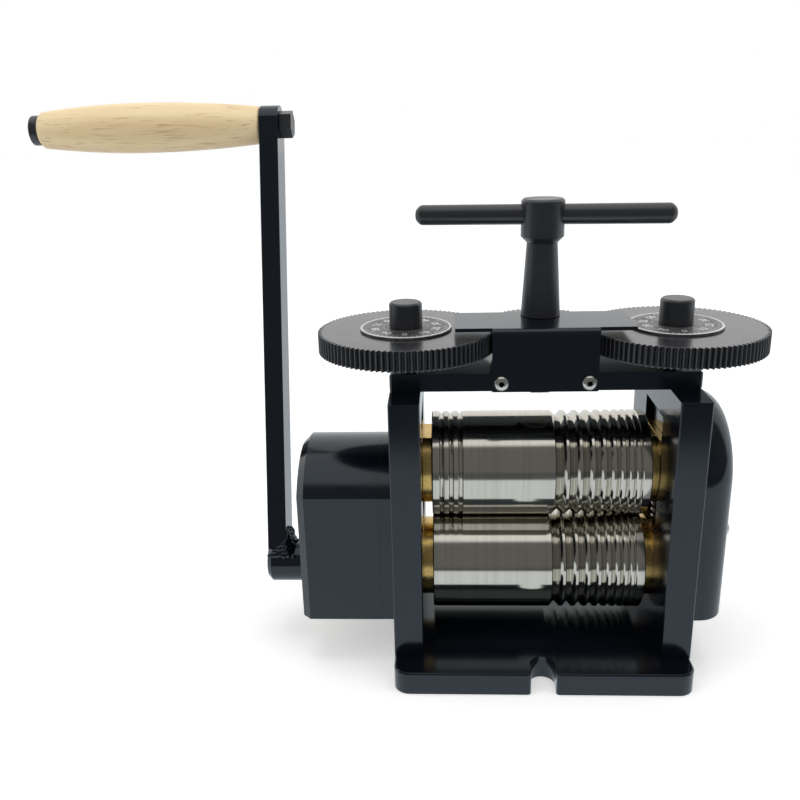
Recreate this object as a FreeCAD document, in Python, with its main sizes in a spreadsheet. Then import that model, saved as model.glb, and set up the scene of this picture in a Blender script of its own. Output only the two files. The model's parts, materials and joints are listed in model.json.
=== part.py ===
import FreeCAD, Part
import math
import os
import re
import Sketcher
from FreeCAD import Placement, Rotation, Vector

# A hand rolling mill for jewellers. The origin is the middle of the base's underside,
# X runs along the rolls, Y to the back and Z up. All sizes are in millimetres.

os.makedirs("parts", exist_ok=True)
doc = FreeCAD.newDocument("RollingMill")
sheet = doc.addObject("Spreadsheet::Sheet", "Sizes")

SIZES = [
    # base plate
    ("base_depth", 124, "base along Y"),
    ("base_thick", 12, "base plate thickness"),
    ("base_corner", 8, "upright corner radius of the base"),
    ("base_edge", 0.8, "chamfer on the base's top edge"),
    ("bench_slot_width", 12.5, "open slots for the bench bolts"),
    ("bench_slot_depth", 15, "slot length in from the edge"),
    ("slot_flare", 1.75, "rounding at the mouth of a slot"),
    # frame
    ("cheek_thick", 15, "side cheeks along X"),
    ("cheek_depth", 96, "side cheeks along Y"),
    ("cheek_edge", 0.6, "chamfer on the cheeks' front and back edges"),
    ("window_width", 36, "bearing window along Y"),
    ("window_bar", 11, "bar left above the window"),
    ("window_room", 2, "window above the raised saddle"),
    ("bridge_depth", 56, "top bridge along Y"),
    ("bridge_thick", 9, "top bridge thickness"),
    ("bridge_edge", 1, "chamfer on the bridge's ends"),
    # rolls
    ("roll_radius", 27.5, "barrel radius"),
    ("roll_length", 110, "barrel length"),
    ("roll_gap", 0.3, "gap between the rolls when closed"),
    ("roll_height", 33, "lower roll axis above the base"),
    ("neck_radius", 13, "roll necks"),
    ("roll_edge", 0.5, "chamfer at the ends of the barrel"),
    ("groove_count", 9, "square wire grooves"),
    ("groove_inset", 45.2, "middle of the widest groove from the right end of the barrel"),
    ("groove_width", 5.6, "widest groove"),
    ("groove_drop", 0.52, "each groove is narrower by this"),
    ("groove_land", 1.5, "flat between two grooves"),
    ("band_count", 3, "half round grooves of the upper roll"),
    ("band_inset", 5, "first half round groove from the left end of the barrel"),
    ("band_pitch", 4.8, "spacing of the half round grooves"),
    ("band_width", 2.4, "half round groove at the surface"),
    ("band_depth", 1, "half round groove's depth"),
    # bushes and saddles
    ("collar_radius", 21, "bush collar"),
    ("collar_wide", 5, "room for a collar between the barrel and the cheek"),
    ("collar_gap", 0.1, "play at the faces of a collar"),
    ("bush_slack", 0.05, "play of a bush in its window"),
    ("bearing_slack", 0.04, "radial play of a bearing"),
    ("saddle_thick", 10.7, "saddle under the adjusting screw"),
    ("saddle_round", 8, "rounding of the saddle's top"),
    ("saddle_proud", 4.4, "saddle stands out of the cheek's inner face"),
    ("spring_wire", 1.6, "return spring wire"),
    ("spring_radius", 4.6, "middle radius of the return spring"),
    ("spring_turns", 4, "turns of the return spring"),
    # adjusting screws and dials
    ("lift", 4, "highest opening of the rolls"),
    ("screw_radius", 5, "adjusting screw"),
    ("screw_slack", 0.1, "radial play of the screw thread"),
    ("journal_radius", 4, "upper end of the adjusting screw"),
    ("dial_lift", 5.6, "underside of the dial wheels above the bridge"),
    ("dial_thick", 10.2, "dial wheel thickness"),
    ("dial_teeth", 100, "teeth of a dial wheel"),
    ("centre_teeth", 54, "teeth of the centre pinion"),
    ("dial_backlash", 0.16, "play between the dial wheels' teeth"),
    ("plate_radius", 23.3, "engraved dial plate"),
    ("plate_thick", 1, "dial plate thickness"),
    ("cap_radius", 8.35, "cap nut on a dial"),
    ("cap_height", 13, "cap nut height"),
    ("cap_round", 1, "chamfer of the cap nut"),
    ("cap_crown", 4, "solid crown of the cap nut"),
    # tee handle
    ("spindle_radius", 5, "spindle of the tee handle"),
    ("spindle_bush_radius", 8, "brass bush of the spindle"),
    ("spindle_flange_radius", 12, "flange of that bush"),
    ("spindle_flange_thick", 3, "flange thickness"),
    ("column_foot_radius", 9.75, "handle column at the foot"),
    ("column_neck_radius", 7.5, "handle column at the neck"),
    ("column_height", 36, "column from foot to neck"),
    ("column_flare", 3, "cone from neck to hub"),
    ("hub_radius", 10.5, "hub of the handle"),
    ("hub_height", 18, "hub height"),
    ("hub_edge", 1, "chamfer on the hub's top"),
    ("bar_radius", 4.9, "cross bar"),
    ("bar_place", 0.58, "share of the hub's height under the cross bar's middle"),
    ("bar_length", 125, "cross bar length"),
    ("bar_shift", 0.5, "cross bar set off along its own line"),
    ("bar_turn", 5, "rest angle of the cross bar, degrees"),
    ("bar_round", 2.5, "chamfered ends of the cross bar"),
    ("spindle_nut_width", 16, "spindle nut across flats"),
    ("spindle_nut_height", 7.5, "spindle nut height"),
    ("thread_proud", 1, "thread beyond the spindle nut"),
    # gear cover over the centre pinion
    ("cover_sheet", 1.8, "gear cover sheet"),
    ("cover_gap", 0.2, "play between the pinion and the cover"),
    ("cover_width", 86, "gear cover along X"),
    ("cover_back", 7, "back edge of the cover"),
    ("apron_width", 50.8, "front apron along X"),
    ("apron_bend", 3, "outer radius of the apron's bend"),
    ("cover_screw_span", 42, "distance of the two cover screws"),
    ("cover_screw_radius", 3.8, "button head radius"),
    ("cover_screw_head", 2.2, "button head height"),
    ("small_shank", 2, "shank radius of the small screws"),
    ("tap_depth", 8, "thread depth of the small screws"),
    # reduction gears
    ("train_module", 1.75, "module of the reduction gears"),
    ("small_teeth", 13, "teeth of the small gears"),
    ("roll_end_teeth", 25, "teeth of the gear on the lower roll"),
    ("lay_teeth", 29, "teeth of the lay gear's wheel"),
    ("train_width", 10, "face width of the reduction gears"),
    ("train_backlash", 0.2, "play between the teeth of the train"),
    ("train_gap", 3, "space between the two gear planes"),
    ("train_clear", 2, "gears clear of the case's back plate"),
    ("lay_bore", 6, "lay shaft radius"),
    ("lay_hub_wall", 3, "wall of the lay gear's hub"),
    ("roll_end_radius", 8, "end of the lower roll that holds the large gear"),
    ("clip_thick", 1.2, "retaining rings"),
    ("clip_wide", 2.5, "ring height over its shaft"),
    ("clip_margin", 1, "shaft left beyond a ring"),
    # roll gears
    ("roll_teeth", 14, "teeth of the roll gears"),
    ("roll_gear_width", 8, "face width of the roll gears"),
    ("roll_gear_addendum", 3.6, "tooth height over the pitch circle"),
    ("roll_gear_dedendum", 4.4, "tooth depth under the pitch circle"),
    ("roll_gear_backlash", 0.3, "play between the roll gears' teeth"),
    ("roll_gear_gap", 1.2, "roll gears clear of the cheek"),
    ("gear_journal", 10, "roll end inside the roll gears"),
    ("key_width", 4, "keys of the gears"),
    # left gear case
    ("case_plate", 7, "back plate of the gear case"),
    ("case_half_width", 35, "flat sides of the case from the middle"),
    ("case_crown", 40.7, "crown radius of the case"),
    ("case_middle", 74.5, "height of the crown's centre"),
    ("case_bottom", 26, "lower edge of the case"),
    ("case_length", 41.8, "case along X"),
    ("case_wall", 3, "case wall"),
    ("case_edge", 4, "chamfer round the outer face"),
    ("case_screw_y", 27, "case screws from the middle"),
    ("case_screw_low", 34, "lower case screws"),
    ("case_screw_high", 99.5, "upper case screws"),
    ("case_screw_in", 21.5, "upper case screws from the middle"),
    ("case_screw_head", 3.6, "countersunk head radius of the case screws"),
    ("plate_screw_y", 26.5, "back plate screws from the middle"),
    ("plate_screw_low", 42, "height of the lower back plate screws"),
    ("plate_screw_high", 82.5, "height of the upper back plate screws"),
    ("plate_screw_radius", 2.5, "shank radius of the plate screws"),
    # right roll gear cover
    ("hood_radius", 39, "outer radius of the roll gear cover"),
    ("hood_bottom", 28.5, "lower edge of the roll gear cover"),
    ("hood_length", 18.75, "roll gear cover along X"),
    ("hood_wall", 1.8, "roll gear cover wall"),
    ("hood_round", 13.5, "rounded outer edge"),
    ("pillar_radius", 3.5, "pillars of the roll gear cover"),
    ("pillar_y", 22, "pillars from the middle"),
    # crank
    ("shaft_radius", 8, "crank shaft"),
    ("crank_bush_radius", 11, "crank bush"),
    ("crank_flange_radius", 13.5, "crank bush flange"),
    ("crank_flange_thick", 3, "crank bush flange thickness"),
    ("boss_gap", 2.7, "crank boss clear of the case"),
    ("boss_radius", 11, "crank boss"),
    ("boss_length", 20, "crank boss length"),
    ("boss_edge", 2.3, "chamfer of the boss"),
    ("boss_floor", 2, "closed end of the boss"),
    ("arm_thick", 10, "crank arm along X"),
    ("arm_width", 20, "crank arm width"),
    ("arm_inset", 0.9, "arm set back from the end of the boss"),
    ("arm_reach", 239.4, "crank axis to grip axis"),
    ("crank_lean", 14.8, "rest angle of the crank, degrees"),
    ("bolt_radius", 4, "grip bolt"),
    ("bolt_head_radius", 7.9, "grip bolt head"),
    ("bolt_head_height", 4.2, "grip bolt head height"),
    ("nut_width", 13, "grip nut across flats"),
    ("nut_turn", 18, "grip nut turned back from a corner on top, degrees"),
    ("nut_height", 6.6, "grip nut height"),
    ("grip_length", 121.9, "wooden grip"),
    ("grip_inner_radius", 9.9, "grip at the arm"),
    ("grip_belly_radius", 13.15, "grip at its thickest"),
    ("grip_outer_radius", 8.75, "grip at the outer end"),
    ("grip_belly_place", 0.5, "share of the grip's length from the arm to its thickest place"),
    ("grip_round", 1.5, "chamfered ends of the grip"),
    ("grip_gap", 0.3, "end play of the grip"),
    ("grub_radius", 2.5, "grub screw of the boss"),
    ("grub_sunk", 0.3, "grub screw below the boss's surface"),
    # screws of the frame
    ("frame_screw_radius", 4, "shank of the base screws"),
    ("frame_head_radius", 6.5, "head of the base screws"),
    ("frame_head_height", 8, "head height of the base screws"),
    ("frame_screw_length", 28, "base screws under the head"),
    ("frame_screw_y", 34, "base screws from the middle"),
    ("bridge_screw_radius", 2.5, "shank of the bridge screws"),
    ("bridge_head_radius", 4.25, "head of the bridge screws"),
    ("bridge_head_height", 5, "head height of the bridge screws"),
    ("bridge_screw_length", 20, "bridge screws under the head"),
    ("bridge_screw_y", 21.5, "bridge screws from the middle"),
    ("screw_room", 0.25, "screw holes are larger than their screws by this"),
    ("hole_room", 0.5, "play of a shaft in a hole that does not guide it"),
    ("blind_room", 1, "blind holes are deeper than their screws by this"),
]

names = {entry[0] for entry in SIZES}
for row, (alias, size, note) in enumerate(SIZES, start=1):
    sheet.set(f"A{row}", alias)
    sheet.set(f"B{row}", str(size))
    sheet.set(f"C{row}", note)
    sheet.setAlias(f"B{row}", alias)
doc.recompute()


def bound(text):
    """The same expression with every size's name pointing at the sheet."""
    return re.sub(r"[a-z_]{3,}", lambda word: "Sizes." + word[0] if word[0] in names else word[0], text)


def value(text):
    """Value of an expression in millimetres or degrees."""
    return float(sheet.evalExpression(bound(text)))


# Places worked out from the sizes, as expressions.
cheek_in = "(roll_length / 2 + collar_wide)"
cheek_out = f"({cheek_in} + cheek_thick)"
cheek_mid = f"({cheek_in} + cheek_thick / 2)"
lower_z = "(base_thick + roll_height)"
upper_z = f"({lower_z} + 2 * roll_radius + roll_gap)"
roll_end = "(roll_length / 2)"
saddle_low = f"({upper_z} + collar_radius)"
saddle_top = f"({saddle_low} + saddle_thick)"
window_top = f"({saddle_top} + lift + window_room)"
bridge_low = f"({window_top} + window_bar)"
bridge_top = f"({bridge_low} + bridge_thick)"
dial_low = f"({bridge_top} + dial_lift)"
dial_top = f"({dial_low} + dial_thick)"
cap_low = f"({dial_top} + plate_thick)"
dial_module = f"(2 * {cheek_mid} / (dial_teeth + centre_teeth))"
centre_low = f"({bridge_top} + spindle_flange_thick + collar_gap)"
centre_top = f"({dial_top} + lift + 2 * collar_gap)"
cover_low = f"({centre_top} + cover_gap)"
cover_top = f"({cover_low} + cover_sheet)"
foot_z = f"({cover_top} + 3 * collar_gap)"
neck_z = f"({foot_z} + column_height)"
hub_z = f"({neck_z} + column_flare)"
bar_z = f"({hub_z} + hub_height * bar_place)"
lay_z = f"({lower_z} + train_module * (small_teeth + roll_end_teeth) / 2)"
crank_z = f"({lay_z} - train_module * (small_teeth + lay_teeth) / 2)"
pillar_z = f"(({lower_z} + {upper_z}) / 2)"
case_x = f"({cheek_out} + case_plate)"
case_end = f"({case_x} + case_length)"
gear_one = f"({case_x} + train_clear)"
gear_one_end = f"({gear_one} + train_width)"
gear_two = f"({gear_one_end} + train_gap)"
gear_two_end = f"({gear_two} + train_width)"
roll_gear_x = f"({cheek_out} + roll_gear_gap)"
roll_gear_end = f"({roll_gear_x} + roll_gear_width)"
boss_x = f"({case_end} + boss_gap)"
boss_end = f"({boss_x} + boss_length)"
arm_end = f"({boss_end} - arm_inset)"
arm_x = f"({arm_end} - arm_thick)"
grip_x = f"({arm_end} + grip_gap)"
grip_end = f"({grip_x} + grip_length)"
grip_y = "(arm_reach * sin(crank_lean))"
grip_z = f"({crank_z} + arm_reach * cos(crank_lean))"
bush_half = "(window_width / 2 - bush_slack)"

SIDES = (("left", -1), ("right", 1))
nodes = []


# Helpers.
def keep(item, label):
    """Marks an object as one of the mill's pieces."""
    item.Label = label
    nodes.append(item)
    return item


def place(item, x="0", y="0", z="0", axis=None, angle="0"):
    """Puts an object at a point, turned about an axis."""
    if axis is not None:
        item.Placement = Placement(Vector(), Rotation(axis, value(angle)))
        item.setExpression("Placement.Rotation.Angle", bound(angle))
    item.setExpression("Placement.Base.x", bound(x))
    item.setExpression("Placement.Base.y", bound(y))
    item.setExpression("Placement.Base.z", bound(z))
    return item


def box(name, x, y, z):
    """Block between two places along each axis; x, y and z are pairs."""
    item = doc.addObject("Part::Box", name)
    for size, (low, high) in (("Length", x), ("Width", y), ("Height", z)):
        item.setExpression(size, bound(f"({high}) - ({low})"))
    return place(item, x[0], y[0], z[0])


def rod(name, radius, low, high, along="Z", at=("0", "0")):
    """Round bar from low to high along an axis, at the two other coordinates."""
    item = doc.addObject("Part::Cylinder", name)
    item.setExpression("Radius", bound(radius))
    item.setExpression("Height", bound(f"({high}) - ({low})"))
    if along == "X":
        return place(item, low, at[0], at[1], Vector(0, 1, 0), "90")
    if along == "Y":
        return place(item, at[0], low, at[1], Vector(-1, 0, 0), "90")
    return place(item, at[0], at[1], low)


def cut(name, base, tools):
    """Base without the tools."""
    item = doc.addObject("Part::Cut", name)
    item.Base = base
    item.Tool = tools[0] if len(tools) == 1 else join(name + "_tools", tools)
    return item


def join(name, pieces):
    """One shape of several."""
    item = doc.addObject("Part::MultiFuse", name)
    item.Shapes = pieces
    return item


def group(name, pieces):
    """Several separate solids in one object."""
    item = doc.addObject("Part::Compound", name)
    item.Links = pieces
    return item


def sketch(body, name, plane, offset="0"):
    """Empty sketch on one of the body's own planes."""
    item = body.newObject("Sketcher::SketchObject", name)
    role = plane + "_Plane"
    origin = [feature for feature in body.Origin.OriginFeatures if feature.Role == role][0]
    item.AttachmentSupport = (origin, [""])
    item.MapMode = "FlatFace"
    item.setExpression("AttachmentOffset.Base.z", bound(offset))
    item.Visibility = False
    return item


def outline(item, corners, arcs=None):
    """Closed outline through corners. An arc starts at its corner, with a radius, and bulges outwards
    on a path that runs anticlockwise; a negative radius bulges inwards."""
    arcs = arcs or {}
    points = [Vector(value(x), value(y), 0) for x, y in corners]
    ends = []
    for index, start in enumerate(points):
        end = points[(index + 1) % len(points)]
        if index not in arcs:
            number = item.addGeometry(Part.LineSegment(start, end))
            ends.append((number, 1, 2))
            continue
        radius = abs(value(arcs[index]))
        outwards = value(arcs[index]) > 0
        chord = end - start
        rise = math.sqrt(max(radius ** 2 - chord.Length ** 2 / 4, 0))
        normal = Vector(-chord.y, chord.x, 0).normalize()
        centre = (start + end) * 0.5 + normal * (rise if outwards else -rise)
        low, high = (start, end) if outwards else (end, start)
        turn = [math.atan2(point.y - centre.y, point.x - centre.x) for point in (low, high)]
        if turn[1] < turn[0]:
            turn[1] += 2 * math.pi
        number = item.addGeometry(Part.ArcOfCircle(Part.Circle(centre, Vector(0, 0, 1), radius), *turn))
        ends.append((number, 1, 2) if outwards else (number, 2, 1))
        if rise > radius / 1000:
            key = item.addConstraint(Sketcher.Constraint("Radius", number, radius))
            item.setExpression(f"Constraints[{key}]", bound(f"abs({arcs[index]})"))
        else:
            key = item.addConstraint(Sketcher.Constraint("DistanceY", -1, 1, number, 3, centre.y))
            item.setExpression(f"Constraints[{key}]", bound(corners[index][1]))
    for index, (number, _, last) in enumerate(ends):
        following, start, _ = ends[(index + 1) % len(ends)]
        item.addConstraint(Sketcher.Constraint("Coincident", number, last, following, start))
    for (number, start, _), (x, y), point in zip(ends, corners, points):
        for kind, text, size in (("DistanceX", x, point.x), ("DistanceY", y, point.y)):
            key = item.addConstraint(Sketcher.Constraint(kind, -1, 1, number, start, size))
            item.setExpression(f"Constraints[{key}]", bound(text))


def ring(item, x, y, radius):
    """Circle of a sketch."""
    centre = Vector(value(x), value(y), 0)
    number = item.addGeometry(Part.Circle(centre, Vector(0, 0, 1), value(radius)))
    for kind, text, size in (("DistanceX", x, centre.x), ("DistanceY", y, centre.y)):
        key = item.addConstraint(Sketcher.Constraint(kind, -1, 1, number, 3, size))
        item.setExpression(f"Constraints[{key}]", bound(text))
    key = item.addConstraint(Sketcher.Constraint("Radius", number, value(radius)))
    item.setExpression(f"Constraints[{key}]", bound(radius))


def rectangle(item, x, y):
    """Rectangle of a sketch between two places along each axis."""
    outline(item, [(x[0], y[0]), (x[1], y[0]), (x[1], y[1]), (x[0], y[1])])


def pad(body, profile, length, backwards=False):
    """Extrusion of a sketch along its normal."""
    item = body.newObject("PartDesign::Pad", profile.Name + "_pad")
    item.Profile = profile
    item.setExpression("Length", bound(length))
    item.Reversed = backwards
    body.Tip = item
    doc.recompute()
    return item


def pocket(body, profile, length, forwards=False):
    """Cut of a sketch against its normal, or along it; it has to take something away."""
    before = body.Tip.Shape.Volume
    item = body.newObject("PartDesign::Pocket", profile.Name + "_cut")
    item.Profile = profile
    item.setExpression("Length", bound(length))
    item.Reversed = forwards
    body.Tip = item
    doc.recompute()
    if item.Shape.Volume > before - 0.01:
        raise ValueError(f"{item.Name} cuts nothing")
    return item


def turned(body, profile, axis="H_Axis"):
    """Full turn of a sketch about its own axis."""
    item = body.newObject("PartDesign::Revolution", profile.Name + "_turned")
    item.Profile = profile
    item.ReferenceAxis = (profile, [axis])
    item.Angle = 360
    body.Tip = item
    doc.recompute()
    return item


def dress(body, kind, size, chosen):
    """Fillet or Chamfer on the edges that the test chooses."""
    base = body.Tip
    edges = [f"Edge{number}" for number, edge in enumerate(base.Shape.Edges, 1) if chosen(edge)]
    item = body.newObject("PartDesign::" + kind, f"{base.Name}_{kind.lower()}")
    item.Base = (base, edges)
    item.setExpression("Radius" if kind == "Fillet" else "Size", bound(size))
    body.Tip = item
    doc.recompute()
    return item


def body(name, x="0", y="0", z="0"):
    """New body with its origin at a point."""
    return place(doc.addObject("PartDesign::Body", name), x, y, z)


def along(edge, direction):
    """True for a straight edge along a direction."""
    if edge.Curve.TypeId != "Part::GeomLine":
        return False
    return abs(edge.Curve.Direction.dot(direction)) > 0.999


def is_round(edge, radius):
    """True for a circle of a radius."""
    return edge.Curve.TypeId == "Part::GeomCircle" and abs(edge.Curve.Radius - radius) < 0.01


def flat_at(edge, axis, height):
    """True for an edge that lies wholly at one height along an axis."""
    bounds = edge.BoundBox
    low = {"X": bounds.XMin, "Z": bounds.ZMin}[axis]
    high = {"X": bounds.XMax, "Z": bounds.ZMax}[axis]
    return abs(low - height) < 0.01 and abs(high - height) < 0.01


# Base and frame.
def base_plate():
    plate = body("base_plate")
    flat = sketch(plate, "base_outline", "XY")
    rectangle(flat, (f"-{cheek_out}", cheek_out), ("-base_depth / 2", "base_depth / 2"))
    pad(plate, flat, "base_thick")
    dress(plate, "Fillet", "base_corner", lambda edge: along(edge, Vector(0, 0, 1)))
    top = value("base_thick")
    dress(plate, "Chamfer", "base_edge", lambda edge: flat_at(edge, "Z", top))
    half = "bench_slot_width / 2"
    wide = "(bench_slot_width / 2 + slot_flare)"
    for side, sign in (("front", "-"), ("back", "")):
        slot = sketch(plate, side + "_slot", "XY", "base_thick + 1")
        face = f"({sign}base_depth / 2)"
        mouth = f"({sign}(base_depth / 2 - slot_flare))"
        inner = f"({sign}(base_depth / 2 - bench_slot_depth + {half}))"
        beyond = f"({sign}(base_depth / 2 + 1))"
        if side == "front":
            corners = [(f"-{wide}", beyond), (wide, beyond), (wide, face), (half, mouth), (half, inner),
                       (f"-({half})", inner), (f"-({half})", mouth), (f"-{wide}", face)]
            arcs = {2: "-slot_flare", 4: "bench_slot_width / 2", 6: "-slot_flare"}
        else:
            corners = [(wide, beyond), (f"-{wide}", beyond), (f"-{wide}", face), (f"-({half})", mouth),
                       (f"-({half})", inner), (half, inner), (half, mouth), (wide, face)]
            arcs = {2: "-slot_flare", 4: "bench_slot_width / 2", 6: "-slot_flare"}
        outline(slot, corners, arcs)
        pocket(plate, slot, "base_thick + 2")
    holes = sketch(plate, "frame_screw_holes", "XY")
    heads = sketch(plate, "frame_screw_seats", "XY")
    for x in (f"-{cheek_mid}", cheek_mid):
        for y in ("-frame_screw_y", "frame_screw_y"):
            ring(holes, x, y, "frame_screw_radius + screw_room")
            ring(heads, x, y, "frame_head_radius + screw_room")
    pocket(plate, holes, "base_thick", forwards=True)
    pocket(plate, heads, "frame_head_height + screw_room", forwards=True)
    return keep(plate, "base_plate")


def cheek(side, sign):
    wall = body(f"cheek_{side}", x=cheek_in if sign > 0 else f"-{cheek_out}", z="base_thick")
    face = sketch(wall, f"cheek_{side}_outline", "YZ")
    rise = f"({bridge_low} - base_thick)"
    rectangle(face, ("-cheek_depth / 2", "cheek_depth / 2"), ("0", rise))
    pad(wall, face, "cheek_thick")
    dress(wall, "Chamfer", "cheek_edge",
          lambda edge: along(edge, Vector(0, 0, 1)) and abs(edge.BoundBox.YMin) > 1)
    window = sketch(wall, f"cheek_{side}_window", "YZ", "-1")
    half = "window_width / 2"
    top = f"({rise} - window_bar)"
    outline(window, [(f"-({half})", "roll_height"), (half, "roll_height"), (half, top), (f"-({half})", top)],
            {0: half})
    pocket(wall, window, "cheek_thick + 2", forwards=True)
    bores = sketch(wall, f"cheek_{side}_screw", "XY", f"{rise} + 1")
    ring(bores, "cheek_thick / 2", "0", "screw_radius + hole_room")
    pocket(wall, bores, "window_bar + 2")
    taps = sketch(wall, f"cheek_{side}_bridge_taps", "XY", f"{rise} + 1")
    for y in ("-bridge_screw_y", "bridge_screw_y"):
        ring(taps, "cheek_thick / 2", y, "bridge_screw_radius")
    pocket(wall, taps, "1 + bridge_screw_length + bridge_head_height - bridge_thick + blind_room")
    feet = sketch(wall, f"cheek_{side}_base_taps", "XY", "-1")
    for y in ("-frame_screw_y", "frame_screw_y"):
        ring(feet, "cheek_thick / 2", y, "frame_screw_radius")
    pocket(wall, feet, "1 + frame_screw_length + frame_head_height - base_thick + blind_room", forwards=True)
    if side == "left":
        fixings = sketch(wall, "cheek_left_case_taps", "YZ", "-1")
        for y, z in plate_screw_places():
            ring(fixings, y, f"{z} - base_thick", "plate_screw_radius")
        pocket(wall, fixings, "1 + cheek_thick / 2 + blind_room", forwards=True)
    return keep(wall, f"cheek_{side}")


def top_bridge():
    bar = body("top_bridge", z=bridge_low)
    flat = sketch(bar, "bridge_outline", "XY")
    rectangle(flat, (f"-{cheek_out}", cheek_out), ("-bridge_depth / 2", "bridge_depth / 2"))
    pad(bar, flat, "bridge_thick")
    end = value(cheek_out)
    dress(bar, "Chamfer", "bridge_edge", lambda edge: flat_at(edge, "X", end) or flat_at(edge, "X", -end))
    through = sketch(bar, "bridge_bores", "XY", "-1")
    ring(through, "0", "0", "spindle_bush_radius")
    for x in (f"-{cheek_mid}", cheek_mid):
        ring(through, x, "0", "screw_radius + screw_slack")
        for y in ("-bridge_screw_y", "bridge_screw_y"):
            ring(through, x, y, "bridge_screw_radius + screw_room")
    pocket(bar, through, "bridge_thick + 2", forwards=True)
    heads = sketch(bar, "bridge_screw_seats", "XY", "bridge_thick")
    for x in (f"-{cheek_mid}", cheek_mid):
        for y in ("-bridge_screw_y", "bridge_screw_y"):
            ring(heads, x, y, "bridge_head_radius + screw_room")
    pocket(bar, heads, "bridge_head_height + screw_room")
    taps = sketch(bar, "apron_taps", "XZ", "bridge_depth / 2 + 1")
    for x in ("-cover_screw_span / 2", "cover_screw_span / 2"):
        ring(taps, x, "bridge_thick / 2", "small_shank")
    pocket(bar, taps, "1 + tap_depth + blind_room")
    return keep(bar, "top_bridge")


def frame_screws():
    from_below = []
    from_above = []
    for x in (f"-{cheek_mid}", cheek_mid):
        for y in ("-frame_screw_y", "frame_screw_y"):
            number = len(from_below) + 1
            head = rod(f"base_screw_head_{number}", "frame_head_radius", "screw_room", "frame_head_height",
                       at=(x, y))
            shank = rod(f"base_screw_shank_{number}", "frame_screw_radius", "frame_head_height",
                        "frame_head_height + frame_screw_length", at=(x, y))
            from_below.append(join(f"base_screw_{number}", [head, shank]))
        for y in ("-bridge_screw_y", "bridge_screw_y"):
            number = len(from_above) + 1
            seat = f"({bridge_top} - bridge_head_height)"
            head = rod(f"bridge_screw_head_{number}", "bridge_head_radius", seat,
                       f"{bridge_top} - screw_room", at=(x, y))
            shank = rod(f"bridge_screw_shank_{number}", "bridge_screw_radius",
                        f"{seat} - bridge_screw_length", seat, at=(x, y))
            from_above.append(join(f"bridge_screw_{number}", [head, shank]))
    keep(group("base_screws", from_below), "base_screws")
    keep(group("bridge_screws", from_above), "bridge_screws")


# Rolls.
def barrel_profile(grooved):
    """Corners of the upper half of a barrel, from its left to its right end, with V grooves."""
    corners = [(f"-{roll_end}", "roll_radius - roll_edge"), (f"-{roll_end} + roll_edge", "roll_radius")]
    if grooved:
        for number in range(int(value("band_count"))):
            middle = f"(band_inset - {roll_end} + {number} * band_pitch)"
            corners.append((f"{middle} - band_width / 2", "roll_radius"))
            corners.append((f"{middle} - band_width / 4", "roll_radius - band_depth"))
            corners.append((f"{middle} + band_width / 4", "roll_radius - band_depth"))
            corners.append((f"{middle} + band_width / 2", "roll_radius"))
    for number in range(int(value("groove_count"))):
        pitch = f"(groove_land + groove_width - groove_drop * {number / 2})"
        middle = f"({roll_end} - groove_inset + {number} * {pitch})"
        half = f"(groove_width - groove_drop * {number}) / 2"
        corners.append((f"{middle} - {half}", "roll_radius"))
        corners.append((middle, f"roll_radius - {half}"))
        corners.append((f"{middle} + {half}", "roll_radius"))
    corners.append((f"{roll_end} - roll_edge", "roll_radius"))
    corners.append((roll_end, "roll_radius - roll_edge"))
    return corners


def keyway(roll, name, x, radius):
    """Key slot in the top of a roll's end."""
    slot = sketch(roll, name, "XY", f"{radius} - key_width / 2")
    rectangle(slot, x, ("-key_width / 2", "key_width / 2"))
    pocket(roll, slot, "key_width", forwards=True)


def key(name, x, radius, z):
    """Square key, half in the roll and half in the gear."""
    return box(name, x, ("-key_width / 2", "key_width / 2"),
               (f"{z} + {radius} - key_width / 2", f"{z} + {radius} + key_width / 2"))


def lower_roll():
    roll = body("lower_roll", z=lower_z)
    half = sketch(roll, "lower_roll_half", "XZ")
    left = f"(-{gear_one_end} - clip_thick - clip_margin)"
    right = f"({roll_gear_end} + clip_thick + clip_margin)"
    corners = [(left, "0"), (left, "roll_end_radius"), (f"-{gear_one}", "roll_end_radius"),
               (f"-{gear_one}", "neck_radius"), (f"-{roll_end}", "neck_radius")]
    corners += barrel_profile(grooved=False)
    corners += [(roll_end, "neck_radius"), (roll_gear_x, "neck_radius"), (roll_gear_x, "gear_journal"),
                (right, "gear_journal"), (right, "0")]
    outline(half, corners[::-1])
    turned(roll, half)
    for name, x, radius in (("left", (f"-{gear_one_end}", f"-{gear_one}"), "roll_end_radius"),
                            ("right", (roll_gear_x, roll_gear_end), "gear_journal")):
        keyway(roll, f"lower_keyway_{name}", x, radius)
    return keep(roll, "lower_roll")


def upper_roll():
    roll = body("upper_roll", z=upper_z)
    half = sketch(roll, "upper_roll_half", "XZ")
    left = f"(-{cheek_out} + 1)"
    right = f"({roll_gear_end} + clip_thick + clip_margin)"
    corners = [(left, "0"), (left, "neck_radius"), (f"-{roll_end}", "neck_radius")]
    corners += barrel_profile(grooved=True)
    corners += [(roll_end, "neck_radius"), (roll_gear_x, "neck_radius"), (roll_gear_x, "gear_journal"),
                (right, "gear_journal"), (right, "0")]
    outline(half, corners[::-1])
    turned(roll, half)
    keyway(roll, "upper_keyway", (roll_gear_x, roll_gear_end), "gear_journal")
    return keep(roll, "upper_roll")


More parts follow.
